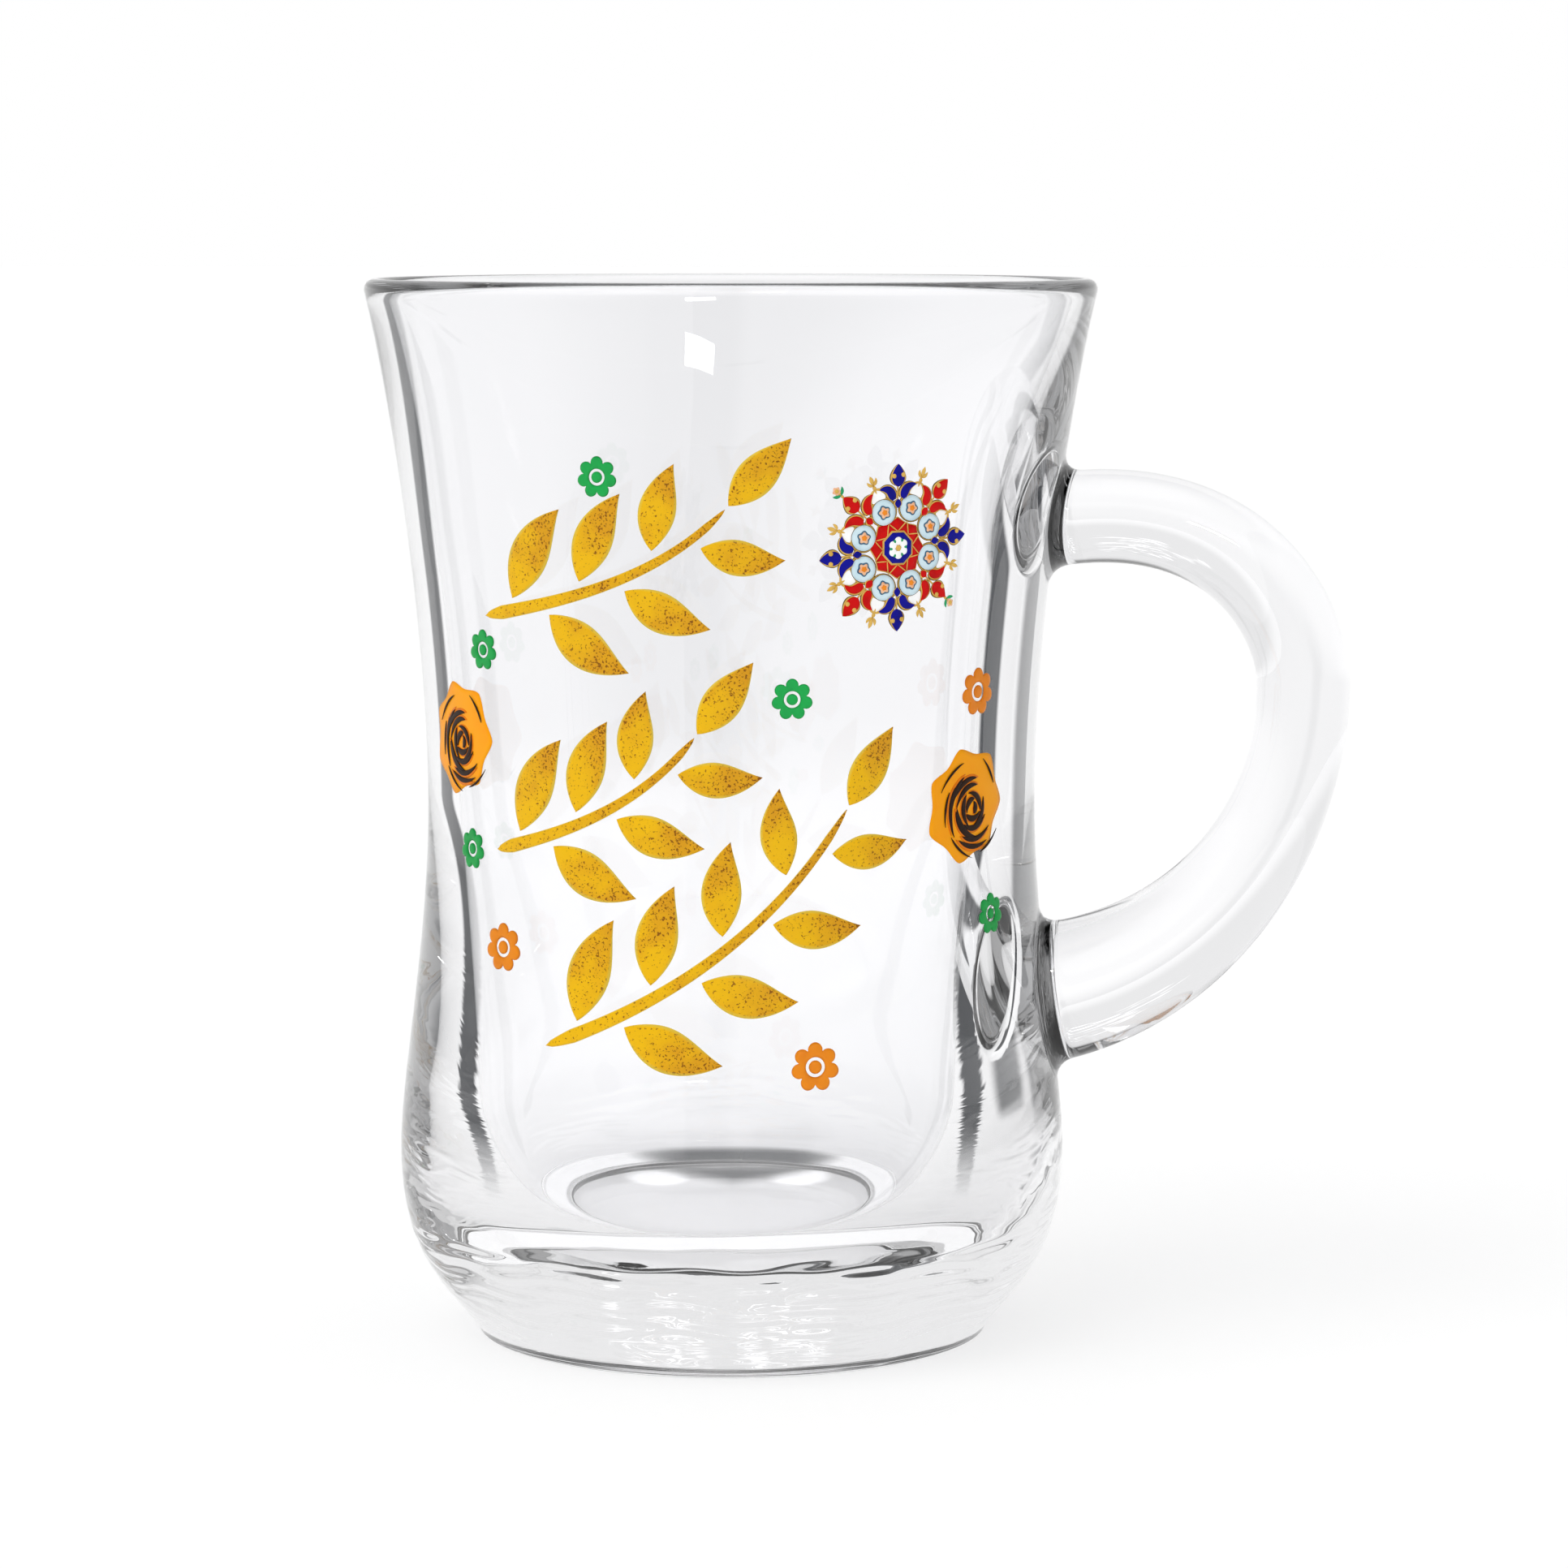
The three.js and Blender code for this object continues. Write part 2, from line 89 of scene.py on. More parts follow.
# Handle, with how far its curves run from the upper and the lower root
HANDLE_REACH = 52.5
HANDLE_THICKNESS = 7.9
HANDLE_WIDTH = 9.2
HANDLE_RUNS = (0.77, 0.59)
HANDLE_RISES = (0.4, 0.53)
UPPER_ROOT_HEIGHT = 68.9
UPPER_ROOT_SLOPE = 0.26
OUTERMOST_HEIGHT = 56.1
LOWER_ROOT_HEIGHT = 28.8
LOWER_ROOT_SLOPE = 0.06
LOWER_ROOT_THICKNESS = 12.2
LOWER_ROOT_GROWTH = 3
ROOT_SHARE = 0.4
ROOT_FILLET = 1.8
ROOT_SINK = 1.2
SEAM_SINK = 0.02

# Glass
GLASS_COLOUR = (0.985, 0.985, 0.995, 1)
GLASS_SHADOW = (0.86, 0.86, 0.87, 1)
GLASS_IOR = 1.52

# Print: a flat sheet wrapped round the cup, with places measured across from its middle and up from its foot
PRINT_AZIMUTH = radians(-84)
PRINT_HEIGHT = 24
FILM_LIFT = 0.05
FILM_THICKNESS = 0.15
FILM_EDGE = 0.4
LAYER_STEP = 0.05
LAYER_THICKNESS = 0.06
RIBBON_CROWN = 3
DISC_CROWN = 4
LEAST_HALF_WIDTH = 0.01

# Inks: satin and grained, each with two colours, then how clear it is and how fine its mottle
INK_BUMP = 0.2
INK_BUMP_DEPTH = 0.02
INK_ROUGHNESS = (0.28, 0.5)
INK_IOR = 1.45
INK_GLOSS = 0.12
INK_GRAIN = 9000
INK_MOTTLE = (0.38, 0.98)
GOLD_TONES = ("#F8C400", "#E4A410")
GOLD_SPECK = "#8A5000"
GOLD_PALE = "#FADC50"
GOLD_CLOUD = 450
GOLD_GRAIN = 5200
GOLD_DRIFT = 1.5
GOLD_BROWNING = (0.1, 1.0)
GOLD_DENSITY = (-0.1, 0.62)
GOLD_SPECK_EDGE = 0.1
GOLD_RIM = (0.4, 0.5)
GOLD_CLEARNESS = 0.3
MEDALLION_INKS = {
    "gold": ("#DDB45C", "#B08430"),
    "navy": ("#0C0C90", "#06065A"),
    "red": ("#CC0808", "#A20404"),
    "pale": ("#D2E8F0", "#B4D4E2"),
    "white": ("#FFFFFF", "#F0F2EE"),
    "teal": ("#4A7088", "#2E4A70"),
    "peach": ("#F2C4A0", "#E0884A"),
    "green": ("#2FA268", "#1C7A4A"),
    "line": ("#5A4420", "#2E2210"),
    "amber": ("#F0902C", "#D86E10"),
}
ROSE_INKS = {
    "rose_enamel": ("#FFA800", "#FF9800", 0.15, 500),
    "rose_shade": ("#E87C04", "#C06004", 0.1),
    "rose_lines": ("#2A1404", "#0E0602", 0.1),
}

# Small flowers
FLOWER_PETALS = 7
FLOWER_SCALLOP = 0.3
FLOWER_ROUNDNESS = 0.7
FLOWER_HOLE = 0.4
FLOWER_EYE = 0.27
FLOWERS = (
    {
        "name": "green_flower",
        "slot": "green_enamel",
        "ink": ("#04BC54", "#04AC50", 0.6),
        "radius": 1.7,
        "places": ((-11, 50.5), (4.9, 32.6), (-23.1, 35.9), (-25.1, 19.2), (25, 13.8)),
    },
    {
        "name": "orange_flower",
        "slot": "orange_enamel",
        "ink": ("#FC9A06", "#F08806", 0.5),
        "radius": 2,
        "places": ((6.8, 2.8), (-20.8, 11.5), (23, 32.4)),
    },
)

# Roses, in shares of the radius and radians: layers of crescents are (reach, turn, width, loss of width
# outwards), and strokes on the outer petals are (reach, start, span)
ROSE_PLACES = {"left": (-27, 28.3), "right": (21.9, 23.1)}
ROSE_RADIUS = 5
ROSE_PETALS = 7
ROSE_HOLLOW = 0.13
ROSE_ROUNDNESS = 1.4
ROSE_LEAN = 0.035
ROSE_HEART = (0.1, -0.06)
ROSE_CRESCENTS = 15
ROSE_REACH = (0.1, 0.54)
ROSE_CROWDING = 0.85
ROSE_WHIRL = 2.4
ROSE_WHIRL_SHARE = 0.4
ROSE_SIDE = (3.5, 1.5)
ROSE_SPAN = (2.5, 1.2)
ROSE_LAYERS = ((1.05, -0.1, 0.07, 0.02), (1, 0, 0.055, 0.012))
ROSE_STROKE_WIDTH = 0.022
ROSE_STROKES = ((0.8, 1.9, 0.9), (0.7, 2.7, 0.8), (0.76, 0.5, 0.7), (0.74, 3.8, 0.9), (0.78, 5.0, 0.8))
CRESCENT_POINTS = 5
CRESCENT_DRIFT = 0.12
CRESCENT_SQUEEZE = 0.9
CRESCENT_POWER = 0.8

# Medallion, in shares of its radius: discs are (reach, radius, ink, layer, scallop), strokes are
# (route, width, ink, layer, fullness), or (route, width, fullness, skew) with a trim, and routes
# are points of (reach, aside)
MEDALLION_PLACE = (13.9, 44.7)
MEDALLION_RADIUS = 6.8
MEDALLION_LEAN = 0.13
MEDALLION_FOLD = 8
SIDES = (1, -1)
STARS = ((0.325, "gold"), (0.312, "red"))
STAR_POINT = 0.05
STAR_RAY = (((0.2, 0), (0.3, 0.12)), 0.007, "gold", 2, 0.3)
OCTAGONS = ((0.222, "gold"), (0.198, "navy"))
HEART_PETALS = 6
HEART_PETAL = (0.082, 0.05, "white", 4)
HEART_SEPAL = (0.095, 0.022, "green", 4)
HEART_EYE = (0, 0.036, "gold", 4.4)
PALMETTE_BACK = (0.67, 0.125, "white", -0.4)
PALMETTE_STEM = (((0.54, 0), (0.8, 0)), 0.012, "gold", 0, 0.4)
PALMETTE_FOOT = (((0.475, 0), (0.585, 0)), 0.042, 0.8, 1)
PALMETTE_SIDE = (((0.575, 0.075), (0.66, 0.07), (0.745, 0.115), (0.725, 0.25)), 0.054, 0.7, 0.62)
PALMETTE_TIP = (((0.73, 0), (1.0, 0)), 0.085, 0.75, 0.75)
PALMETTE_TRIM = {"line": 0.027, "gold": 0.018}
BEAD = (0.865, 0.028, "gold", 3)
BEAD_ASIDE = 0.062
ROUNDEL_PETALS = 5
ROUNDEL = (
    (0.497, 0.184, "line", -0.2),
    (0.497, 0.177, "gold", 0),
    (0.485, 0.16, "line", 0.6),
    (0.485, 0.154, "pale", 1),
    (0.485, 0.09, "teal", 2, 0.1),
    (0.485, 0.073, "peach", 3, 0.16),
    (0.485, 0.036, "amber", 4, 0.1),
)
FINIAL_PAIRS = (
    (((0.68, 0.15), (0.76, 0.09), (0.8, 0)), 0.018, "gold", 0, 0.4),
    (((0.85, 0), (0.87, 0.05), (0.93, 0.06)), 0.02, "gold", 1, 0.8),
)
FINIAL_STROKES = (
    (((0.74, 0), (0.9, 0)), 0.014, "gold", 0, 0.3),
    (((0.86, 0), (0.98, 0)), 0.026, "gold", 1, 0.8),
)
FINIAL_BEAD = (0.82, 0.024, "gold", 1)
BUD_TURNS = (0.75 * pi, 1.75 * pi)
BUD_STEM = (((0.98, 0), (1.1, 0)), 0.018, "gold", 0, 0.3)
BUD_DISCS = ((1.12, 0.055, "peach", 1, 0.12), (1.12, 0.025, "gold", 2))
BUD_LEAF = (((1.04, 0), (1.06, 0.05), (1.11, 0.08)), 0.02, "green", 1, 0.8)

# Gold sprays: the controls of each stem's curve on the sheet, and its pairs of leaves
STEM_WIDTH = 1.2
STEM_TAPER = 0.5
STEM_BLUNTNESS = 12
LEAF_LENGTH = 9.2
LEAF_WIDTH = 3.9
LEAF_SPREAD = radians(46)
LEAF_BEND = 1.4
LEAF_CLEARANCE = 0.4
LEAF_SHRINK = 0.3
LEAF_SKEW = 0.85
TIP_LEAF_SIZE = 0.8
SPRAYS = (
    {"stem": ((-22.5, 38.8), (-16, 40), (-6.5, 41.5), (-0.5, 48)), "pairs": 3},
    {"stem": ((-21.5, 19.5), (-15.5, 21), (-8, 23), (-3, 29.5)), "pairs": 3},
    {"stem": ((-16, 4), (-9, 6.5), (2, 11.5), (9.5, 23.5)), "pairs": 4},
)

# Mesh density
CUP_SEGMENTS = 288
STEPS = {"belly": 90, "waist": 70, "rim": 50, "lip": 12, "throat": 44, "wall": 36, "corner": 24, "dish": 24}
HOLLOW_STEPS = 12
RING_STEPS = 6
HANDLE_RINGS = 120
HANDLE_SIDES = 72
FILLET_ROWS = 14
WALK_STEPS = 200
STEM_STEPS = 60
LEAF_STEPS = 28
LEAF_PLACES = 400
NUDGE = 0.1
SHARE_NUDGE = 0.001
HALVINGS = 40

# Camera, fitted to the photograph's 1932 x 1932 frame
PHOTO_SIDE = 1932
FOCAL_PIXELS = 6464
AXIS_PIXEL = 901
CAMERA_DISTANCE = 446
CAMERA_HEIGHT = 96
CAMERA_AZIMUTH = radians(6)
CAMERA_PITCH = radians(6.28)
CAMERA_NEAR = 10
SENSOR_WIDTH = 36
BOUNCES = 32
GLOSSY_BOUNCES = 24

# Studio cards, dark places on the floor that show only in light reflected inside the glass: a bent card
# on each side, with values for the left and the right, a painted shadow of the handle's root, and a grey zone
# in line
WHITE = (1, 1, 1, 1)
HALF_TURN = 180
FIRST_BOUNCE = 0.5
# The dark colour of the studio cards, also used for the painted shade and shadows on the floor
CARD_AND_SHADE_COLOUR = (0.014, 0.018, 0.024, 1)
CARD_LINE = radians(6)
CARD_TURN = (52, 39)
CARD_SPREAD = (30, 21)
CARD_SPREAD_REACH = (52, 250)
CARD_CLOSE = (23, 12)
CARD_BEND = (28, 70)
CARD_NARROWS = 0.35
CARD_JAGS = 60
CARD_JAG = 9
CARD_RAGGED = (60, 110)
CARD_HALF_WIDTH = 5
CARD_SOFTNESS = 3
CARD_EDGE = (24, 52)
DARK_CARD = 0.96
# Painted shadow of the handle's root: a dark patch on the floor to the right of the glass, near it
HANDLE_SHADOW_TURNS = (28, 42)
HANDLE_SHADOW_REACH = (55, 62)
HANDLE_SHADOW_SOFTNESS = 8
HANDLE_SHADOW_SHADE = 0.85
GREY_EDGE = (42, 52)
GREY_TURN = 12
GREY_SOFTNESS = 7
GREY_ZONE = (0.2, 0.85)
TRAPPED_SHADE = 0.7
TRAPPED_BOUNCES = (1.5, 5)

# Sky, by the sine of its elevation: a dark band below a paler top, and two streaked panels at the back
SKY_LIGHT = 0.6
SKY_LOW = 0.83
SKY_LOW_EDGE = (0, 0.1)
SKY_TOP = 0.03
SKY_TOP_EDGE = (0.64, 0.76)
SKY_ZENITH = 0.7
SKY_ZENITH_EDGE = (0.88, 0.96)
PATCH_TURNS = (4, -13)
PATCH_HALF_WIDTH = 4
PATCH_SOFTNESS = 8
PATCH_HEIGHTS = (0.24, 0.5)
PATCH_EDGE = 0.06
PATCH_STREAKS = (14, 60)
STREAK_LEVELS = (0.47, 0.62)
PATCH_LIGHT = 1.35

# Floor, and what shows through the glass: shade under it and far behind, the foot's crescent, two spots
FLOOR_HALF_SIDE = 8000
FLOOR_GLOW = 0.48
FLOOR_COLOUR = (0.62, 0.62, 0.62, 1)
UNDER_REACH = (25, 70)
UNDER_SHADE = 0.09
UNDER_HOLE = (8, 16)
CRESCENT_LOW = 9
CRESCENT_BOW = 0.6
CRESCENT_TOP = (19, 24)
CRESCENT_ENDS = (5, 16)
CRESCENT_SOFTNESS = 3
CRESCENT_SHADE = 0.9
GLINTS = ((-8, 10), (7, 11))
GLINT_RADIUS = 4
GLINT_LIGHT = 0.6
BEYOND_REACH = (180, 520)
BEYOND_SHADE = 0.15
BEYOND_TURNS = (1, 6)
BEYOND_REST = 0.5

# Lamps
SUN_LIGHT = 1.2
SUN_ANGLE = radians(50)
SUN_PLACE = (-700, -700, 900)
SOFTBOX_LIGHT = 3
SOFTBOX_SIZE = (310, 62)
SOFTBOX_PLACE = (455, -1430, 795)


def clamp(value):
    """A value held between 0 and 1."""
    return max(0.0, min(1.0, value))


def bezier(controls, steps):
    """Points along a cubic curve on the flat, its first point left out."""
    points = []
    for step in range(1, steps + 1):
        t = step / steps
        weights = ((1 - t) ** 3, 3 * t * (1 - t) ** 2, 3 * t * t * (1 - t), t ** 3)
        points.append(tuple(sum(w * p[i] for w, p in zip(weights, controls)) for i in (0, 1)))
    return points


def curve_point(controls, t):
    """A point of a Bezier curve of any degree on the flat."""
    points = [Vector(control) for control in controls]
    while len(points) > 1:
        points = [a.lerp(b, t) for a, b in zip(points, points[1:])]
    return points[0]


def outside_profile():
    """(radius, height) from the foot's top up to the lip."""
    tilt = atan(RIM_FLARE)
    lip = (
        RIM_RADIUS - LIP_RADIUS + LIP_RADIUS * cos(tilt),
        CUP_HEIGHT - LIP_RADIUS - LIP_RADIUS * sin(tilt),
    )
    foot = (FOOT_RADIUS + FOOT_STEP, FOOT_HEIGHT)
    belly = (BELLY_RADIUS, BELLY_HEIGHT)
    waist = (WAIST_RADIUS, WAIST_HEIGHT)
    swell, rise = belly[0] - foot[0], belly[1] - foot[1]
    waist_rise, rim_rise = waist[1] - belly[1], lip[1] - waist[1]
    flare_rise = RIM_FULLNESS["rim"] * rim_rise
    over_foot = (foot[0] + BELLY_FULLNESS["swell"] * swell, foot[1] + BELLY_FULLNESS["rise"] * rise)
    under_belly = (belly[0], belly[1] - BELLY_FULLNESS["top"] * rise)
    over_belly = (belly[0], belly[1] + WAIST_FULLNESS["belly"] * waist_rise)
    under_waist = (waist[0], waist[1] - WAIST_FULLNESS["waist"] * waist_rise)
    over_waist = (waist[0], waist[1] + RIM_FULLNESS["waist"] * rim_rise)
    under_lip = (lip[0] - RIM_FLARE * flare_rise, lip[1] - flare_rise)
    points = [foot]
    points += bezier((foot, over_foot, under_belly, belly), STEPS["belly"])
    points += bezier((belly, over_belly, under_waist, waist), STEPS["waist"])
    points += bezier((waist, over_waist, under_lip, lip), STEPS["rim"])
    return points


def inside_profile():
    """(radius, height) over the round lip, down the throat and wall, to the middle of the floor."""
    tilt = atan(RIM_FLARE)
    centre = (RIM_RADIUS - LIP_RADIUS, CUP_HEIGHT - LIP_RADIUS)
    points = []
    for step in range(1, STEPS["lip"] + 1):
        turn = pi * step / STEPS["lip"] - tilt
        points.append((centre[0] + LIP_RADIUS * cos(turn), centre[1] + LIP_RADIUS * sin(turn)))
    rim = points[-1]
    throat = (THROAT_RADIUS, THROAT_HEIGHT)
    drop = rim[1] - throat[1]
    taper = (THROAT_RADIUS - FLOOR_RADIUS) / (THROAT_HEIGHT - BASE_THICKNESS)
    rim_run, throat_run = THROAT_FULLNESS["rim"], THROAT_FULLNESS["throat"]
    under_rim = (rim[0] - RIM_FLARE * rim_run * drop, rim[1] - rim_run * drop)
    over_throat = (throat[0] + taper * throat_run * drop, throat[1] + throat_run * drop)
    points += bezier((rim, under_rim, over_throat, throat), STEPS["throat"])
    corner = (FLOOR_RADIUS + taper * FLOOR_CORNER, BASE_THICKNESS + FLOOR_CORNER)
    dish = (DISH_RADIUS, BASE_THICKNESS + DISH_DEPTH)
    knee = (FLOOR_RADIUS, dish[1] + 2 * DISH_DEPTH / DISH_RADIUS * (FLOOR_RADIUS - DISH_RADIUS))
    for step in range(1, STEPS["wall"] + 1):
        share = step / STEPS["wall"]
        points.append(tuple(a + (b - a) * share for a, b in zip(throat, corner)))
    for step in range(1, STEPS["corner"] + 1):
        points.append(tuple(curve_point((corner, knee, dish), step / STEPS["corner"])))
    for step in range(1, STEPS["dish"]):
        share = 1 - step / STEPS["dish"]
        points.append((DISH_RADIUS * share, BASE_THICKNESS + DISH_DEPTH * share ** 2))
    return points


def underside_profile():
    """(radius, height) from near the axis out over the hollow, the standing ring and the foot's edge."""
    ring = FOOT_RADIUS - FOOT_EDGE
    inner = ring - FOOT_RING_WIDTH
    hollow = inner - HOLLOW_DEPTH
    points = [(hollow * step / HOLLOW_STEPS, HOLLOW_DEPTH) for step in range(1, HOLLOW_STEPS + 1)]
    for turn in HOLLOW_TURNS:
        points.append((hollow + HOLLOW_DEPTH * sin(turn), HOLLOW_DEPTH * cos(turn)))
    points += [(inner + FOOT_RING_WIDTH * step / RING_STEPS, 0) for step in range(1, RING_STEPS + 1)]
    for step in range(1, RING_STEPS + 1):
        turn = pi / 2 * step / RING_STEPS
        points.append((ring + FOOT_EDGE * sin(turn), FOOT_EDGE * (1 - cos(turn))))
    return points


OUTSIDE = outside_profile()
OUTSIDE_HEIGHTS = [height for radius, height in OUTSIDE]


def cup_radius(height):
    """The cup's outer radius at a height."""
    above = bisect.bisect_left(OUTSIDE_HEIGHTS, height)
    if above == 0 or above == len(OUTSIDE):
        return OUTSIDE[max(0, above - 1)][0]
    low, high = OUTSIDE[above - 1], OUTSIDE[above]
    return low[0] + (height - low[1]) / (high[1] - low[1]) * (high[0] - low[0])


def wrinkle(x, y, z):
    """How far the chilled skin of the lower glass stands in or out, in millimetres."""
    skin = clamp((WRINKLE_TOP - z) / WRINKLE_FADE)
    faint = FAINT_SHARE * clamp((FAINT_TOP - z) / FAINT_FADE)
    fade = max(skin, faint)
    if fade == 0 or z < FOOT_HEIGHT:
        return 0.0
    wide, tall = WARP_SIZE
    warp = WARP * noise.noise(Vector((x / wide, y / wide, z / tall)))
    wide, tall = WRINKLE_SIZE
    fine = noise.noise(Vector((x / wide, y / wide, z / tall + warp)))
    return WRINKLE_DEPTH * fade * fine


def cup_mesh():
    """The cup as one closed mesh of rings: underside, outside, lip and inside."""
    bm = bmesh.new()
    under, inside = underside_profile(), inside_profile()
    rings = []
    bottom = bm.verts.new((0, 0, HOLLOW_DEPTH))
    top = bm.verts.new((CAVITY_SHIFT, 0, BASE_THICKNESS))
    for profile in (under, OUTSIDE, inside):
        for radius, height in profile:
            depth = clamp((SHIFT_TOP - height) / SHIFT_FADE) if profile is inside else 0.0
            shift = CAVITY_SHIFT * depth * depth * (3 - 2 * depth)
            row = []
            for segment in range(CUP_SEGMENTS):
                turn = 2 * pi * segment / CUP_SEGMENTS
                x, y = cos(turn), sin(turn)
                out = radius
                if profile is OUTSIDE:
                    out += wrinkle(radius * x, radius * y, height)
                row.append(bm.verts.new((out * x + shift, out * y, height)))
            rings.append(row)
    for low, high in zip(rings, rings[1:]):
        for a in range(CUP_SEGMENTS):
            b = (a + 1) % CUP_SEGMENTS
            bm.faces.new((low[a], low[b], high[b], high[a]))
    for a in range(CUP_SEGMENTS):
        b = (a + 1) % CUP_SEGMENTS
        bm.faces.new((bottom, rings[0][b], rings[0][a]))
        bm.faces.new((top, rings[-1][a], rings[-1][b]))
    return bm


def handle_curves():
    """The handle's middle line in (x, z): upper root to outermost point, and on to the lower root."""
    half = HANDLE_THICKNESS / 2
    upper = (cup_radius(UPPER_ROOT_HEIGHT) - half, UPPER_ROOT_HEIGHT)
    lower = (cup_radius(LOWER_ROOT_HEIGHT) - half, LOWER_ROOT_HEIGHT)
    middle = (HANDLE_REACH - half, OUTERMOST_HEIGHT)
    upper_run = HANDLE_RUNS[0] * (middle[0] - upper[0])
    lower_run = HANDLE_RUNS[1] * (middle[0] - lower[0])
    above = HANDLE_RISES[0] * (upper[1] - middle[1])
    below = HANDLE_RISES[1] * (middle[1] - lower[1])
    beside_upper = (upper[0] + upper_run, upper[1] + UPPER_ROOT_SLOPE * upper_run)
    beside_lower = (lower[0] + lower_run, lower[1] + LOWER_ROOT_SLOPE * lower_run)
    first = (upper, beside_upper, (middle[0], middle[1] + above), middle)
    second = (middle, (middle[0], middle[1] - below), beside_lower, lower)
    return first, second


HANDLE_CURVES = handle_curves()


def handle_middle(share):
    """A point of the handle's middle line, 0 at the upper root and 1 at the lower one."""
    first, second = HANDLE_CURVES
    return curve_point(first, 2 * share) if share < 0.5 else curve_point(second, 2 * share - 1)


def handle_point(share, turn):
    """A point of the oval sweep and its outward direction, thicker towards the lower root."""
    x, z = handle_middle(share)
    after, before = handle_middle(min(1.0, share + SHARE_NUDGE)), handle_middle(max(0.0, share - SHARE_NUDGE))
    along = (after - before).normalized()
    fall = clamp((OUTERMOST_HEIGHT - z) / (OUTERMOST_HEIGHT - LOWER_ROOT_HEIGHT))
    thickness = HANDLE_THICKNESS + (LOWER_ROOT_THICKNESS - HANDLE_THICKNESS) * fall ** LOWER_ROOT_GROWTH
    inwards, sideways = cos(turn), sin(turn)
    reach = thickness / 2 * inwards
    point = Vector((x + along.y * reach, HANDLE_WIDTH / 2 * sideways, z - along.x * reach))
    return point, Vector((along.y * inwards, sideways, -along.x * inwards))


def wall_gap(point):
    """How far a point stands off the cup's outside."""
    return hypot(point.x, point.y) - cup_radius(point.z)


def solve(test, low, high):
    """The value between two at which a test turns true, being false at the first."""
    for step in range(HALVINGS):
        middle = (low + high) / 2
        if test(middle):
            high = middle
        else:
            low = middle
    return high


def beside_wall(point, gap):
    """A point moved straight in or out until it stands off the cup's outside by a gap."""
    scale = (cup_radius(point.z) + gap) / hypot(point.x, point.y)
    return Vector((point.x * scale, point.y * scale, point.z))


def root_rows(turn, start, far):
    """One line of the handle over a root's fillet, and the share where it ends."""
    crossing = solve(lambda share: wall_gap(handle_point(share, turn)[0]) > 0, start, far)
    corner, outwards = handle_point(crossing, turn)
    end = solve(lambda share: (handle_point(share, turn)[0] - corner).length > ROOT_FILLET, crossing, far)
    top = handle_point(end, turn)[0]
    slope = (cup_radius(corner.z + NUDGE) - cup_radius(corner.z - NUDGE)) / (2 * NUDGE)
    facing = Vector((corner.x, corner.y, -slope * hypot(corner.x, corner.y))).normalized()
    foot = corner + (outwards - facing * outwards.dot(facing)).normalized() * ROOT_FILLET
    rows = [beside_wall(foot, -ROOT_SINK)]
    for step in range(FILLET_ROWS):
        t = step / FILLET_ROWS
        point = foot * (1 - t) ** 2 + corner * 2 * t * (1 - t) + top * t * t
        rows.append(beside_wall(point, t * t * wall_gap(top) - SEAM_SINK))
    return rows, end


def handle_mesh():
    """The handle: an oval section swept along its middle line, with a fillet at each root."""
    bm = bmesh.new()
    lines = []
    for side in range(HANDLE_SIDES):
        turn = 2 * pi * side / HANDLE_SIDES
        upper, first = root_rows(turn, 0.0, ROOT_SHARE)
        lower, last = root_rows(turn, 1.0, 1 - ROOT_SHARE)
        middle = []
        for ring in range(HANDLE_RINGS + 1):
            share = first + (last - first) * ring / HANDLE_RINGS
            middle.append(handle_point(share, turn)[0])
        lines.append([bm.verts.new(point) for point in upper + middle + lower[::-1]])
    for a, b in zip(lines, lines[1:] + lines[:1]):
        for low in range(len(a) - 1):
            bm.faces.new((a[low], b[low], b[low + 1], a[low + 1]))
    bm.faces.new([line[0] for line in reversed(lines)])
    bm.faces.new([line[-1] for line in lines])
    return bm


def new_object(name, bm, material):
    """An object from a mesh in millimetres, smooth and in metres."""
    bmesh.ops.scale(bm, vec=(MM, MM, MM), verts=bm.verts)
    bmesh.ops.recalc_face_normals(bm, faces=bm.faces)
    mesh = bpy.data.meshes.new(name)
    bm.to_mesh(mesh)
    bm.free()
    mesh.polygons.foreach_set("use_smooth", [True] * len(mesh.polygons))
    obj = bpy.data.objects.new(name, mesh)
    bpy.context.scene.collection.objects.link(obj)
    mesh.materials.append(material)
    return obj


class Number:
    """A number that shader nodes work out: each sum or product with it adds a Math node."""

    def __init__(self, net, socket):
        self.net, self.socket = net, socket

    def __add__(self, other):
        return self.net.math("ADD", self, other)

    def __sub__(self, other):
        return self.net.math("SUBTRACT", self, other)

    def __rsub__(self, other):
        return self.net.math("SUBTRACT", other, self)

    def __mul__(self, other):
        return self.net.math("MULTIPLY", self, other)

    def __abs__(self):
        return self.net.math("ABSOLUTE", self)


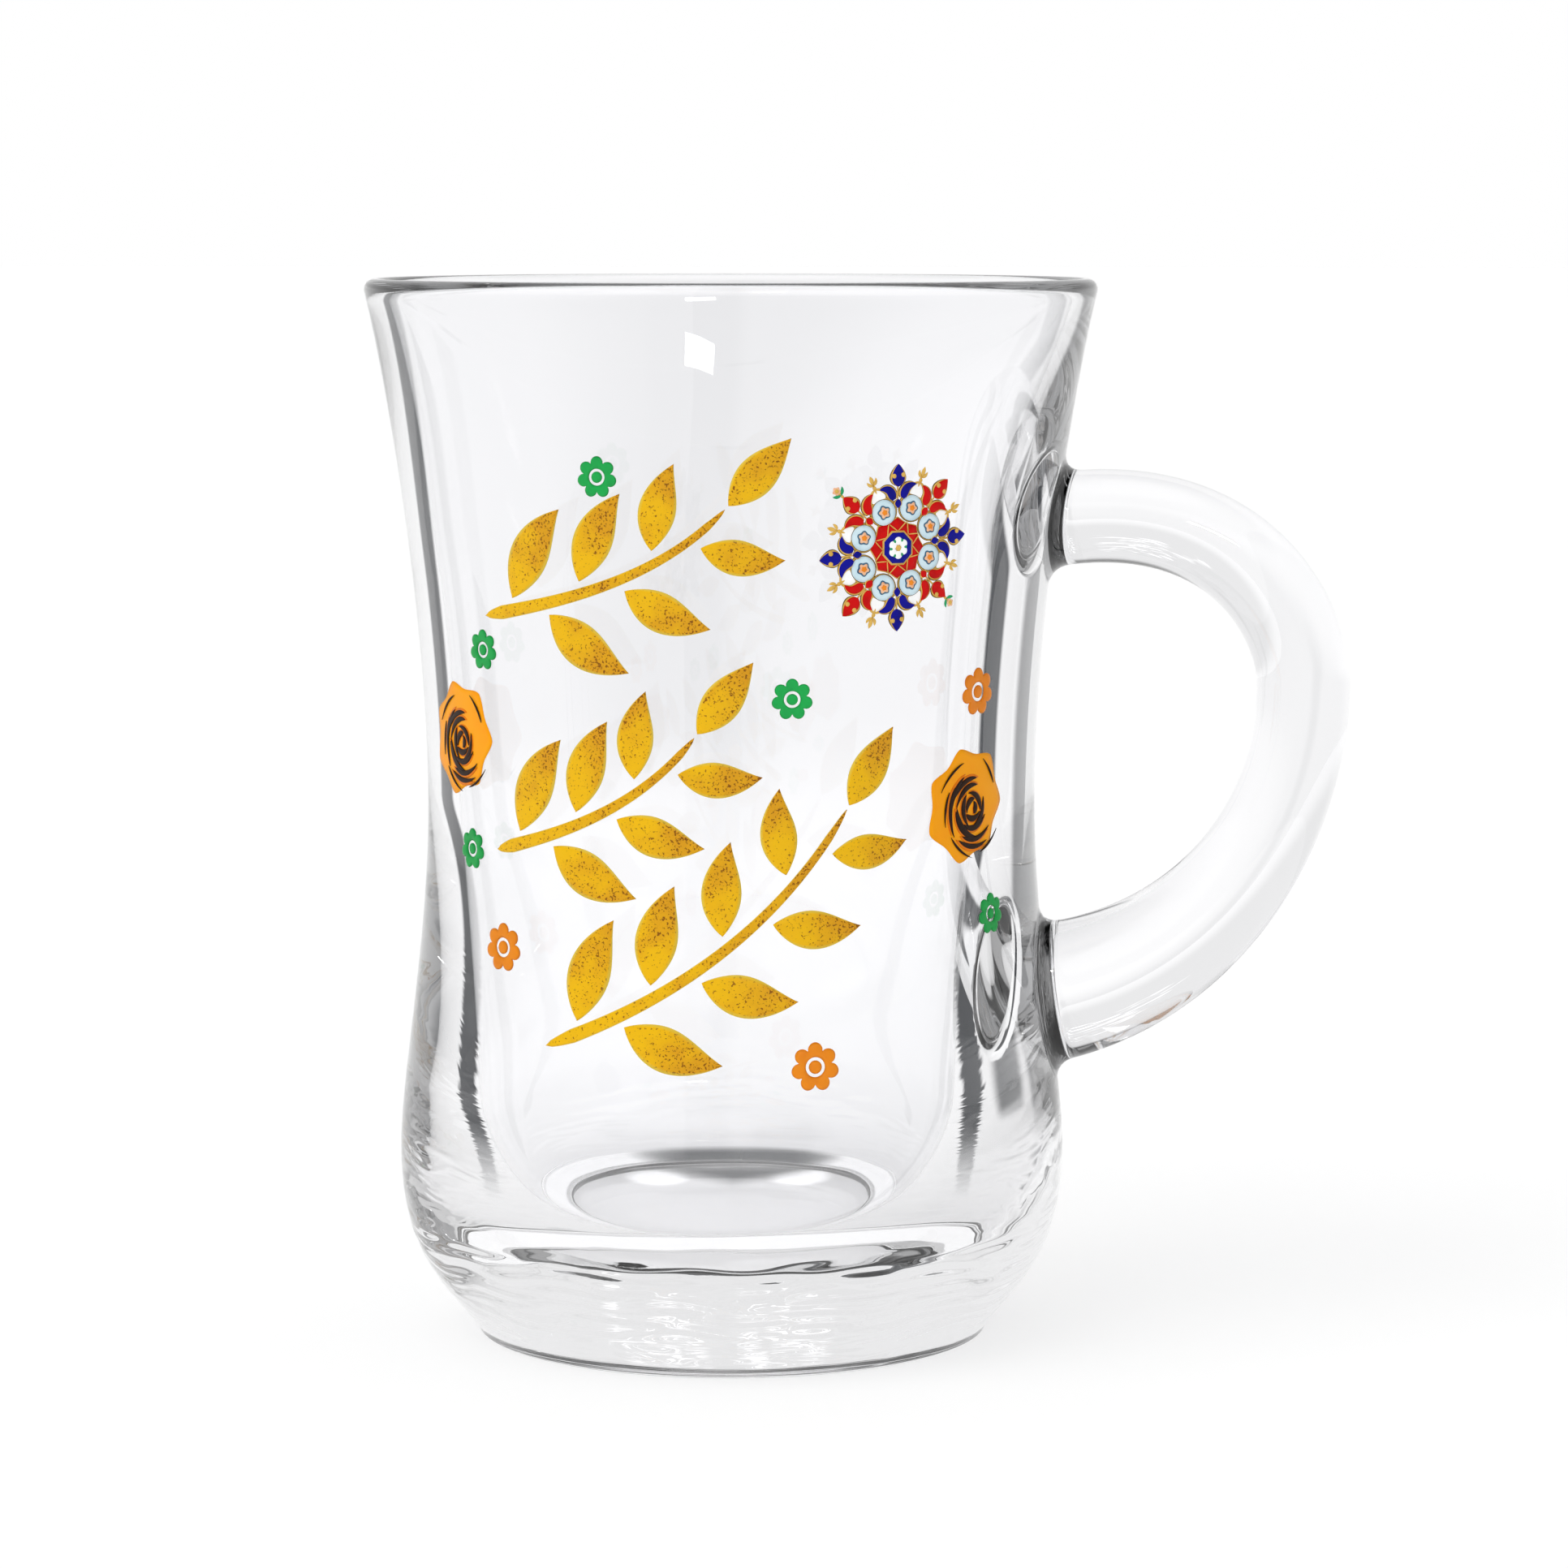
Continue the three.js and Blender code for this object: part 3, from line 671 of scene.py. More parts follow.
class Net:
    """A net of shader nodes, empty at first, with short ways to add and link them."""

    def __init__(self, owner):
        owner.use_nodes = True
        self.nodes, self.links = owner.node_tree.nodes, owner.node_tree.links
        self.nodes.clear()

    def feed(self, socket, value):
        """Sets a socket to a value, or links it to another socket."""
        value = getattr(value, "socket", value)
        if isinstance(value, bpy.types.NodeSocket):
            self.links.new(value, socket)
        else:
            socket.default_value = value

    def add(self, kind, inputs=(), **settings):
        """A node with its settings made and its inputs fed."""
        node = self.nodes.new(kind)
        for name, value in settings.items():
            setattr(node, name, value)
        for name, value in dict(inputs).items():
            self.feed(node.inputs[name], value)
        return node

    def read(self, kind, output=0, inputs=(), **settings):
        """One output of a new node."""
        return Number(self, self.add(kind, inputs, **settings).outputs[output])

    def path(self, output):
        """A fact about the path that the light took."""
        return self.read("ShaderNodeLightPath", output)

    def split(self, place):
        """The three parts of a place."""
        return [Number(self, part) for part in self.add("ShaderNodeSeparateXYZ", {0: place}).outputs]

    def noise(self, place, scale, detail=2):
        """Noise at a place."""
        return self.read("ShaderNodeTexNoise", 0, {"Vector": place, "Scale": scale, "Detail": detail})

    def math(self, operation, *values):
        """The result of a Math node."""
        return self.read("ShaderNodeMath", 0, enumerate(values), operation=operation)

    def ramp(self, value, low, high):
        """0 below one level of a value and 1 above another, smooth between."""
        levels = {"Value": value, "From Min": low, "From Max": high}
        return self.read("ShaderNodeMapRange", "Result", levels, interpolation_type="SMOOTHSTEP")

    def within(self, value, low, high, soft):
        """1 between two levels of a value, fading to 0 outside them."""
        return self.ramp(value, low - soft, low) - self.ramp(value, high, high + soft)

    def mix(self, factor, first, second):
        """A colour between two, each a colour or a socket."""
        mix = self.add("ShaderNodeMix", data_type="RGBA")
        sockets = [socket for socket in mix.inputs if socket.enabled]
        for socket, value in zip(sockets, (factor, first, second)):
            self.feed(socket, value)
        return next(socket for socket in mix.outputs if socket.enabled)

    def blend(self, factor, first, second):
        """A shader between two."""
        return self.add("ShaderNodeMixShader", {0: factor, 1: first.outputs[0], 2: second.outputs[0]})

    def finish(self, shader, kind="ShaderNodeOutputMaterial"):
        """Makes a shader the surface."""
        self.add(kind, {"Surface": shader.outputs[0]})


def new_material(name):
    """A material and its net of nodes."""
    material = bpy.data.materials.new(name)
    return material, Net(material)


def glass_material():
    """Clear glass that lets most of the lamps' light through, for a faint shadow."""
    material, net = new_material("clear_glass")
    glass = net.add("ShaderNodeBsdfPrincipled", {
        "Base Color": GLASS_COLOUR,
        "Roughness": 0.0,
        "IOR": GLASS_IOR,
        "Transmission Weight": 1,
    })
    through = net.add("ShaderNodeBsdfTransparent", {"Color": GLASS_SHADOW})
    net.finish(net.blend(net.path("Is Shadow Ray"), glass, through))
    return material


def glass_piece():
    """The cup and its handle joined into one body, as pressed."""
    material = glass_material()
    cup = new_object("glass", cup_mesh(), material)
    handle = new_object("handle_sweep", handle_mesh(), material)
    join = cup.modifiers.new("join", "BOOLEAN")
    join.operation = "UNION"
    join.solver = "EXACT"
    join.object = handle
    joined = cup.evaluated_get(bpy.context.evaluated_depsgraph_get())
    mesh = bpy.data.meshes.new_from_object(joined)
    cup.modifiers.clear()
    cup.data = mesh
    bpy.data.objects.remove(handle)
    mesh.polygons.foreach_set("use_smooth", [True] * len(mesh.polygons))
    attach(cup, "root")
    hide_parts("glass_body", "handle")


def curve_walk(controls, steps):
    """(point, direction) at even lengths along a Bezier curve."""
    fine = [curve_point(controls, i / WALK_STEPS) for i in range(WALK_STEPS + 1)]
    lengths = [0.0]
    for a, b in zip(fine, fine[1:]):
        lengths.append(lengths[-1] + (b - a).length)
    walk = []
    for step in range(steps + 1):
        goal = lengths[-1] * step / steps
        i = max(1, min(WALK_STEPS, bisect.bisect_left(lengths, goal)))
        share = (goal - lengths[i - 1]) / (lengths[i] - lengths[i - 1])
        walk.append((fine[i - 1].lerp(fine[i], share), (fine[i] - fine[i - 1]).normalized()))
    return walk


def ribbon_patch(controls, half_width, steps=16, columns=6):
    """A patch along a curve whose half width depends on the share of its length."""
    points, faces = [], []
    for step, (middle, along) in enumerate(curve_walk(controls, steps)):
        aside = Vector((-along.y, along.x)) * max(LEAST_HALF_WIDTH, half_width(step / steps))
        for column in range(columns + 1):
            v = column / columns
            place = middle + aside * (1 - 2 * v)
            points.append((place.x, place.y, 1 - abs(2 * v - 1) ** RIBBON_CROWN, step / steps, v))
    for step in range(steps):
        for column in range(columns):
            a = step * (columns + 1) + column
            faces.append((a, a + 1, a + columns + 2, a + columns + 1))
    return points, faces


def disc_patch(place, edge, rings=5, spokes=48, hole=0.0):
    """A round patch with its edge at a radius that depends on the direction, and a round hole if asked."""
    points, faces = [], []
    for ring in range(rings + 1):
        share = ring / rings
        crown = 1 - abs(2 * share - 1 if hole else share) ** DISC_CROWN
        for spoke in range(spokes):
            turn = 2 * pi * spoke / spokes
            radius = hole + (edge(turn) - hole) * share
            x, y = place[0] + radius * cos(turn), place[1] + radius * sin(turn)
            points.append((x, y, crown, share, spoke / spokes))
            if ring:
                outer, next_spoke = ring * spokes, (spoke + 1) % spokes
                inner = outer - spokes
                faces.append((inner + spoke, outer + spoke, outer + next_spoke, inner + next_spoke))
    if hole == 0:
        points = [(place[0], place[1], 1.0, 0.0, 0.0)] + points[spokes:]
        faces = [tuple(dict.fromkeys(max(0, corner - spokes + 1) for corner in face)) for face in faces]
    return points, faces


def add_layer(bm, patch, ink, layer=None):
    """Wraps a patch round the cup as a thin closed solid of one ink, alone or as one layer of a motif."""
    points, faces = patch
    low, thickness = FILM_LIFT, FILM_THICKNESS
    if layer is not None:
        low, thickness = FILM_LIFT + layer * LAYER_STEP, LAYER_THICKNESS
    sheets = []
    for top in (False, True):
        sheet = []
        for across, up, crown, u, v in points:
            height = PRINT_HEIGHT + up
            wall = cup_radius(height)
            turn = PRINT_AZIMUTH + across / wall
            lift = low + thickness * (FILM_EDGE + (1 - FILM_EDGE) * crown) if top else low
            radius = wall + lift
            sheet.append(bm.verts.new((radius * cos(turn), radius * sin(turn), height)))
        sheets.append(sheet)
    bottom, top = sheets
    uv = bm.loops.layers.uv.verify()

    def add_face(corners, numbers):
        face = bm.faces.new(corners)
        face.material_index = ink
        for loop, number in zip(face.loops, numbers):
            loop[uv].uv = points[number][3:5]

    edges = []
    for face in faces:
        add_face([top[i] for i in face], face)
        add_face([bottom[i] for i in reversed(face)], list(reversed(face)))
        edges += zip(face, face[1:] + face[:1])
    known = set(edges)
    for a, b in edges:
        if (b, a) not in known:
            add_face([bottom[a], bottom[b], top[b], top[a]], [a, b, b, a])


def film_piece(node, bm, inks):
    """Turns layers of film into the piece that stands for a node."""
    piece = new_object(node + "_film", bm, inks[0])
    for ink in inks[1:]:
        piece.data.materials.append(ink)
    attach(piece, "root")
    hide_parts(node)


def flower(node, place, radius, ink):
    """A small flower of round petals, the first upright, with a bare ring round its eye."""
    def edge(turn):
        wave = abs(cos(FLOWER_PETALS / 2 * (turn - pi / 2)))
        return radius * (1 - FLOWER_SCALLOP * (1 - wave ** FLOWER_ROUNDNESS))

    bm = bmesh.new()
    add_layer(bm, disc_patch(place, edge, rings=6, spokes=84, hole=FLOWER_HOLE * radius), 0)
    add_layer(bm, disc_patch(place, lambda turn: FLOWER_EYE * radius, rings=4, spokes=40), 0)
    film_piece(node, bm, [ink])


def rose(node, place, inks):
    """A full rose: lapped outer petals, and dark crescents that turn in towards its heart."""
    def edge(turn):
        between = abs(sin(ROSE_PETALS / 2 * turn)) ** ROSE_ROUNDNESS
        return ROSE_RADIUS * (1 - ROSE_HOLLOW * between - ROSE_LEAN * (1 - sin(2 * turn)))

    bm = bmesh.new()
    add_layer(bm, disc_patch(place, edge, rings=10, spokes=168), 0, layer=0)
    heart = [middle + share * ROSE_RADIUS for middle, share in zip(place, ROSE_HEART)]

    def crescent(radius, start, span, width, layer):
        """A stroke round the heart, pointed at both ends and drifting outwards, in its layer's own ink."""
        controls = []
        for step in range(CRESCENT_POINTS):
            share = step / (CRESCENT_POINTS - 1)
            turn = start + span * share
            reach = ROSE_RADIUS * radius * (1 + CRESCENT_DRIFT * share)
            x = heart[0] + CRESCENT_SQUEEZE * reach * cos(turn)
            controls.append((x, heart[1] + reach * sin(turn)))

        def half(part):
            return ROSE_RADIUS * width * sin(pi * part ** CRESCENT_POWER) ** CRESCENT_POWER

        add_layer(bm, ribbon_patch(controls, half, steps=18), layer, layer)

    for number in range(ROSE_CRESCENTS):
        share = number / (ROSE_CRESCENTS - 1)
        radius = ROSE_REACH[0] + ROSE_REACH[1] * share ** ROSE_CROWDING
        middle = ROSE_WHIRL * number
        if share >= ROSE_WHIRL_SHARE:
            middle = ROSE_SIDE[0] + ROSE_SIDE[1] * sin(middle)
        span = ROSE_SPAN[0] - ROSE_SPAN[1] * share
        start = middle - span / 2
        for layer, (reach, turn, width, loss) in enumerate(ROSE_LAYERS, 1):
            crescent(radius * reach, start + turn, span, width - loss * share, layer)
    for radius, start, span in ROSE_STROKES:
        crescent(radius, start, span, ROSE_STROKE_WIDTH, len(ROSE_LAYERS))
    film_piece(node, bm, inks)


def leaf_controls(stem, share, side, size):
    """The middle line of a bent leaf beside the stem (side 1 left, -1 right) or at its tip (side 0)."""
    point, along = curve_walk(stem, LEAF_PLACES)[round(LEAF_PLACES * share)]
    aside = Vector((-along.y, along.x)) * side
    clear = aside * (STEM_WIDTH / 2 + LEAF_CLEARANCE) if side else along * LEAF_CLEARANCE
    start = point + clear
    heading = along.copy()
    heading.rotate(Matrix.Rotation(side * LEAF_SPREAD, 2))
    end = start + heading * LEAF_LENGTH * size
    middle = start.lerp(end, 0.5) + aside * LEAF_BEND * size
    return start, middle, end


def gold_film(node, controls, half_width, ink, steps):
    """A stem or leaf of a spray."""
    bm = bmesh.new()
    add_layer(bm, ribbon_patch(controls, half_width, steps, columns=8), 0)
    film_piece(node, bm, [ink])


def spray(number, stem, pairs, ink):
    """A stem that thins towards its tip, leaves to left and right in turn, and a leaf at its tip."""
    def stem_half(share):
        blunt = min(1.0, STEM_BLUNTNESS * share, STEM_BLUNTNESS * (1 - share)) ** 0.5
        return STEM_WIDTH / 2 * (1 - STEM_TAPER * share) * blunt

    gold_film(f"gold_stem_{number}", stem, stem_half, ink, STEM_STEPS)
    count = 2 * pairs
    leaves = []
    for leaf in range(1, count + 1):
        share = leaf / (count + 1)
        leaves.append((str(leaf), share, 1 if leaf % 2 else -1, 1 - LEAF_SHRINK * share))
    leaves.append(("tip", 1, 0, TIP_LEAF_SIZE))
    for label, share, side, size in leaves:
        def half(part, size=size):
            return LEAF_WIDTH / 2 * size * sin(pi * part ** LEAF_SKEW)

        controls = leaf_controls(stem, share, side, size)
        gold_film(f"gold_leaf_{number}_{label}", controls, half, ink, LEAF_STEPS)


def medallion(inks):
    """A round ornament: a flower on an octagon, a star, eight roundels, and palmettes with finials."""
    bm = bmesh.new()
    size = MEDALLION_RADIUS
    numbers = {name: number for number, name in enumerate(MEDALLION_INKS)}

    def place(reach, aside, turn):
        """A point at a share of the radius along a direction, and a share of it to the side."""
        across = size * (reach * cos(turn) - aside * sin(turn))
        up = size * (reach * sin(turn) + aside * cos(turn))
        return MEDALLION_PLACE[0] + across, MEDALLION_PLACE[1] + up + MEDALLION_LEAN * across

    def draw(patch, ink, layer):
        add_layer(bm, patch, numbers[ink], layer)

    def disc(turn, reach, radius, ink, layer, scallop=0.0, aside=0, rings=3, spokes=32):
        """A round spot, or a small flower where it has a scallop."""
        def edge(around):
            return size * radius * (1 - scallop + scallop * cos(ROUNDEL_PETALS * (around - turn)))

        draw(disc_patch(place(reach, aside, turn), edge, rings, spokes), ink, layer)

    def stroke(turn, route, width, ink, layer, fullness, skew=1.0, side=1):
        """A leaf-shaped stroke along a route, or along its mirror image where the side is -1."""
        def half(part):
            return size * width * sin(pi * part ** skew) ** fullness

        controls = [place(reach, aside * side, turn) for reach, aside in route]
        draw(ribbon_patch(controls, half, steps=14, columns=4), ink, layer)

    def trimmed(turn, ink, route, width, fullness, skew, side=1):
        """A stroke with a gold border and a dark line round that."""
        for layer, (colour, border) in enumerate([*PALMETTE_TRIM.items(), (ink, 0)]):
            stroke(turn, route, width + border, colour, layer, fullness, skew, side)

    def star(radius, ink, layer):
        def edge(around):
            return size * (radius + STAR_POINT * (1 - abs(sin(MEDALLION_FOLD / 2 * around))))

        draw(disc_patch(MEDALLION_PLACE, edge, rings=4, spokes=96), ink, layer)

    def octagon(radius, ink, layer):
        def edge(around):
            part = (around + sector) % (2 * sector) - sector
            return size * radius * cos(sector) / cos(part)

        draw(disc_patch(MEDALLION_PLACE, edge, rings=4, spokes=64), ink, layer)

    sector = pi / MEDALLION_FOLD
    turns = [2 * sector * step for step in range(MEDALLION_FOLD)]
    for layer, (radius, ink) in enumerate(STARS):
        star(radius, ink, layer)
    for turn in turns:
        for side in SIDES:
            stroke(turn, *STAR_RAY, side=side)
    for layer, (radius, ink) in enumerate(OCTAGONS, len(STARS)):
        octagon(radius, ink, layer)
    for petal in range(HEART_PETALS):
        turn = pi / 2 + 2 * pi / HEART_PETALS * petal
        disc(turn, *HEART_PETAL)
        disc(turn + pi / HEART_PETALS, *HEART_SEPAL)
    disc(0, *HEART_EYE)
    for step, turn in enumerate(turns):
        colour = "red" if step % 2 else "navy"
        between = turn + sector
        disc(between, *PALMETTE_BACK)
        stroke(turn, *PALMETTE_STEM)
        trimmed(turn, colour, *PALMETTE_FOOT)
        for side in SIDES:
            trimmed(turn, colour, *PALMETTE_SIDE, side)
        trimmed(turn, colour, *PALMETTE_TIP)
        for side in SIDES:
            disc(turn, *BEAD, aside=BEAD_ASIDE * side, rings=2, spokes=20)
        for row in ROUNDEL:
            disc(between, *row)
        for side in SIDES:
            for row in FINIAL_PAIRS:
                stroke(between, *row, side=side)
        for row in FINIAL_STROKES:
            stroke(between, *row)
        disc(between, *FINIAL_BEAD, spokes=20)
    for turn in BUD_TURNS:
        stroke(turn, *BUD_STEM)
        for row in BUD_DISCS:
            disc(turn, *row)
        for side in SIDES:
            stroke(turn, *BUD_LEAF, side=side)
    film_piece("medallion", bm, inks)


def linear(code):
    """A colour written as #RRGGBB, as the shader wants it."""
    channels = []
    for start in (1, 3, 5):
        value = int(code[start:start + 2], 16) / 255
        channels.append(value / 12.92 if value <= 0.04045 else ((value + 0.055) / 1.055) ** 2.4)
    return (*channels, 1)


def finish_ink(net, colour, grain, clearness):
    """The surface of a fired ink: satin, grained like its powder, and partly clear."""
    rough = {"Value": grain, "To Min": INK_ROUGHNESS[0], "To Max": INK_ROUGHNESS[1]}
    bump = {"Height": grain, "Strength": INK_BUMP, "Distance": INK_BUMP_DEPTH * MM}
    net.finish(net.add("ShaderNodeBsdfPrincipled", {
        "Base Color": colour,
        "Roughness": net.read("ShaderNodeMapRange", "Result", rough),
        "IOR": INK_IOR,
        "Specular IOR Level": INK_GLOSS,
        "Transmission Weight": clearness,
        "Normal": net.read("ShaderNodeBump", "Normal", bump),
    }))


def ink_material(name, base, shade, clearness=0.0, mottle=900):
    """An ink of one colour, mottled with a second one."""
    material, net = new_material(name)
    place = net.read("ShaderNodeTexCoord", "Object")
    spread = net.ramp(net.noise(place, mottle, 3), *INK_MOTTLE)
    colour = net.mix(spread, linear(base), linear(shade))
    finish_ink(net, colour, net.noise(place, INK_GRAIN), clearness)
    return material


def gold_material():
    """Gold enamel: yellow at a stroke's foot, browner towards its tip, with dark grains and a pale edge."""
    material, net = new_material("gold_enamel")
    place = net.read("ShaderNodeTexCoord", "Object")
    along, across, up = net.split(net.read("ShaderNodeTexCoord", "UV"))
    along = along + (net.noise(place, GOLD_CLOUD) - 0.5) * GOLD_DRIFT
    grain = net.noise(place, GOLD_GRAIN)
    tone = net.mix(net.ramp(along, *GOLD_BROWNING), *(linear(code) for code in GOLD_TONES))
    growth, density = GOLD_DENSITY
    specks = net.ramp(grain - (along * growth + density), 0, GOLD_SPECK_EDGE)
    tone = net.mix(specks, tone, linear(GOLD_SPECK))
    tone = net.mix(net.ramp(abs(across - 0.5), *GOLD_RIM), tone, linear(GOLD_PALE))
    finish_ink(net, tone, grain, GOLD_CLEARNESS)
    return material


def make_print():
    """All the printed films, each with its ink."""
    gold = gold_material()
    medallion([ink_material("medallion_" + name, *ink) for name, ink in MEDALLION_INKS.items()])
    for row in FLOWERS:
        ink = ink_material(row["slot"], *row["ink"])
        for number, place in enumerate(row["places"], 1):
            flower(f"{row['name']}_{number}", place, row["radius"], ink)
    rose_inks = [ink_material(name, *ink) for name, ink in ROSE_INKS.items()]
    for side, place in ROSE_PLACES.items():
        rose("rose_" + side, place, rose_inks)
    for number, row in enumerate(SPRAYS, 1):
        spray(number, row["stem"], row["pairs"], gold)


def inner_reflection(net):
    """1 for light that was reflected inside the glass, 0 for any other."""
    depths = [net.path(name) for name in ("Glossy Depth", "Transmission Depth")]
    reflected, inside = (net.math("GREATER_THAN", depth, FIRST_BOUNCE) for depth in depths)
    return reflected * inside


def trapped(net):
    """How much darker the surroundings look to light that was reflected many times inside the glass."""
    return net.ramp(net.path("Glossy Depth"), *TRAPPED_BOUNCES) * TRAPPED_SHADE


def turn_off(net, place, line):
    """How far right of a line through the glass a place is, and its angle in degrees from the far end."""
    inputs = {"Vector": place, "Angle": line}
    right, back, up = net.split(net.read("ShaderNodeVectorRotate", 0, inputs, rotation_type="Z_AXIS"))
    return right, net.math("ARCTAN2", abs(right), back) * (1 / DEGREE)


def side_cards(net, place, distance):
    """How dark the studio cards, the grey zone and the painted shadow of the handle's root make the floor at
    a place.
    """
    aside, turn = turn_off(net, place, CARD_LINE)
    on_right = net.math("GREATER_THAN", aside, 0)

    def by_side(left, right):
        """One value to the left of the glass and another to its right."""
        return on_right * (right - left) + left

    near = 1 - net.ramp(distance, *CARD_SPREAD_REACH)
    close = 1 - net.ramp(distance, *CARD_BEND)
    steps = net.math("LOGARITHM", distance * MM, exp(1)) * CARD_JAGS
    jag = net.read("ShaderNodeTexNoise", 0, {"W": steps, "Scale": 1.0}, noise_dimensions="1D")
    ragged = (jag - 0.5) * (1 - net.ramp(distance, *CARD_RAGGED))
    centre = near * by_side(*CARD_SPREAD) + by_side(*CARD_TURN)
    centre = close * by_side(*CARD_CLOSE) + centre + ragged * CARD_JAG
    narrow = 1 - close * CARD_NARROWS
    edges = (narrow * CARD_HALF_WIDTH, narrow * (CARD_HALF_WIDTH + CARD_SOFTNESS))
    card = (1 - net.ramp(abs(turn - centre), *edges)) * net.ramp(distance, *CARD_EDGE) * DARK_CARD
    off_line = net.math("MINIMUM", turn, HALF_TURN - turn)
    in_line = 1 - net.ramp(off_line, GREY_TURN, GREY_TURN + GREY_SOFTNESS)
    grey = in_line * by_side(*GREY_ZONE) * net.ramp(distance, *GREY_EDGE)
    # Painted shadow of the handle's root, a dark patch on the floor to the right, near the glass
    painted_handle_shadow = on_right * HANDLE_SHADOW_SHADE
    for value, edges in ((off_line, HANDLE_SHADOW_TURNS), (distance, HANDLE_SHADOW_REACH)):
        painted_handle_shadow = painted_handle_shadow * net.within(value, *edges, HANDLE_SHADOW_SOFTNESS)
    return net.math("MAXIMUM", net.math("MAXIMUM", card, grey), painted_handle_shadow)


def sky_patch(net, azimuth, height, turn):
    """1 on the bright streaks of a soft-edged panel in the sky behind the glass, 0 outside it."""
    off = abs(azimuth - turn * DEGREE)
    across = 1 - net.ramp(off, PATCH_HALF_WIDTH * DEGREE, (PATCH_HALF_WIDTH + PATCH_SOFTNESS) * DEGREE)
    wide, tall = PATCH_STREAKS
    place = net.read("ShaderNodeCombineXYZ", 0, {0: azimuth * wide, 1: height * tall})
    streaks = net.ramp(net.noise(place, 1.0), *STREAK_LEVELS)
    return net.within(height, *PATCH_HEIGHTS, PATCH_EDGE) * across * streaks


def make_world():
    """White to the camera, a banded sky with panels for the glass, and soft light for the rest."""
    world = bpy.data.worlds.new("studio")
    bpy.context.scene.world = world
    net = Net(world)
    x, y, height = net.split(net.read("ShaderNodeTexCoord", "Generated"))
    low = net.ramp(height, *SKY_LOW_EDGE) * (1 - SKY_LOW)
    band = net.ramp(height, *SKY_TOP_EDGE) - net.ramp(height, *SKY_ZENITH_EDGE) * SKY_ZENITH
    sky = 1 - low - band * (SKY_LOW - SKY_TOP)
    azimuth = net.math("ARCTAN2", x, y)
    straight = net.math("LESS_THAN", net.path("Glossy Depth"), FIRST_BOUNCE)
    for turn in PATCH_TURNS:
        patch = sky_patch(net, azimuth, height, turn) * straight * PATCH_LIGHT
        sky = net.math("MAXIMUM", sky, patch)
    sky = sky * (1 - trapped(net))
    strength = net.math("MAXIMUM", sky, net.path("Is Camera Ray"))
    shine = net.add("ShaderNodeBackground", {"Color": WHITE, "Strength": strength})
    soft = net.add("ShaderNodeBackground", {"Color": WHITE, "Strength": SKY_LIGHT})
    net.finish(net.blend(net.path("Is Diffuse Ray"), shine, soft), "ShaderNodeOutputWorld")


def foot_crescent(net, across, back, distance):
    """1 on the crescent of shadow under the foot's far side, from a place in millimetres."""
    aside = abs(across)
    above = back - (aside * CRESCENT_BOW + CRESCENT_LOW)
    inside = net.ramp(above, -CRESCENT_SOFTNESS, CRESCENT_SOFTNESS)
    return inside * (1 - net.ramp(distance, *CRESCENT_TOP)) * (1 - net.ramp(aside, *CRESCENT_ENDS))


def glints(net, across, back):
    """1 on the spots where the glass gathers light on the floor under it, 0 off them."""
    light = 0.0
    for x, y in GLINTS:
        square = net.math("POWER", across - x, 2) + net.math("POWER", back - y, 2)
        spot = 1 - net.ramp(net.math("SQRT", square), GLINT_RADIUS / 2, GLINT_RADIUS)
        light = net.math("MAXIMUM", spot, light)
    return light


def make_floor():
    """A pale floor, white to the camera apart from the object's shadow."""
    material, net = new_material("floor")
    where = net.read("ShaderNodeNewGeometry", "Position")
    place = net.read("ShaderNodeVectorMath", 0, {0: where, "Scale": 1 / MM}, operation="SCALE")
    distance = net.read("ShaderNodeVectorMath", "Value", {0: place}, operation="LENGTH")
    across, back, up = net.split(place)
    dark = inner_reflection(net) * side_cards(net, place, distance)
    dark = net.math("MAXIMUM", dark, trapped(net))
    through = net.math("GREATER_THAN", net.path("Transmission Depth"), FIRST_BOUNCE)
    under = (1 - net.ramp(distance, *UNDER_REACH)) * net.ramp(distance, *UNDER_HOLE)
    aside = net.ramp(turn_off(net, place, -CAMERA_AZIMUTH)[1], *BEYOND_TURNS)
    beyond = net.ramp(distance, *BEYOND_REACH) * (1 - aside * (1 - BEYOND_REST))
    crescent = foot_crescent(net, across, back, distance) * CRESCENT_SHADE
    shade = net.math("MAXIMUM", under * UNDER_SHADE + beyond * BEYOND_SHADE, crescent)
    dark = net.math("MAXIMUM", dark, shade * through)
    strength = glints(net, across, back) * through * GLINT_LIGHT + FLOOR_GLOW
    glow = net.add("ShaderNodeEmission", {"Color": WHITE, "Strength": strength})
    pale = net.add("ShaderNodeBsdfDiffuse", {"Color": FLOOR_COLOUR})
    lit = net.add("ShaderNodeAddShader", {0: glow.outputs[0], 1: pale.outputs[0]})
    # The dark colour that the floor turns to, both for the studio cards and for the painted shade and shadows
    card = net.add("ShaderNodeEmission", {"Color": CARD_AND_SHADE_COLOUR, "Strength": 1})
    net.finish(net.blend(dark, lit, card))
    bm = bmesh.new()
    bmesh.ops.create_grid(bm, x_segments=1, y_segments=1, size=FLOOR_HALF_SIDE)
    floor = new_object("floor", bm, material)


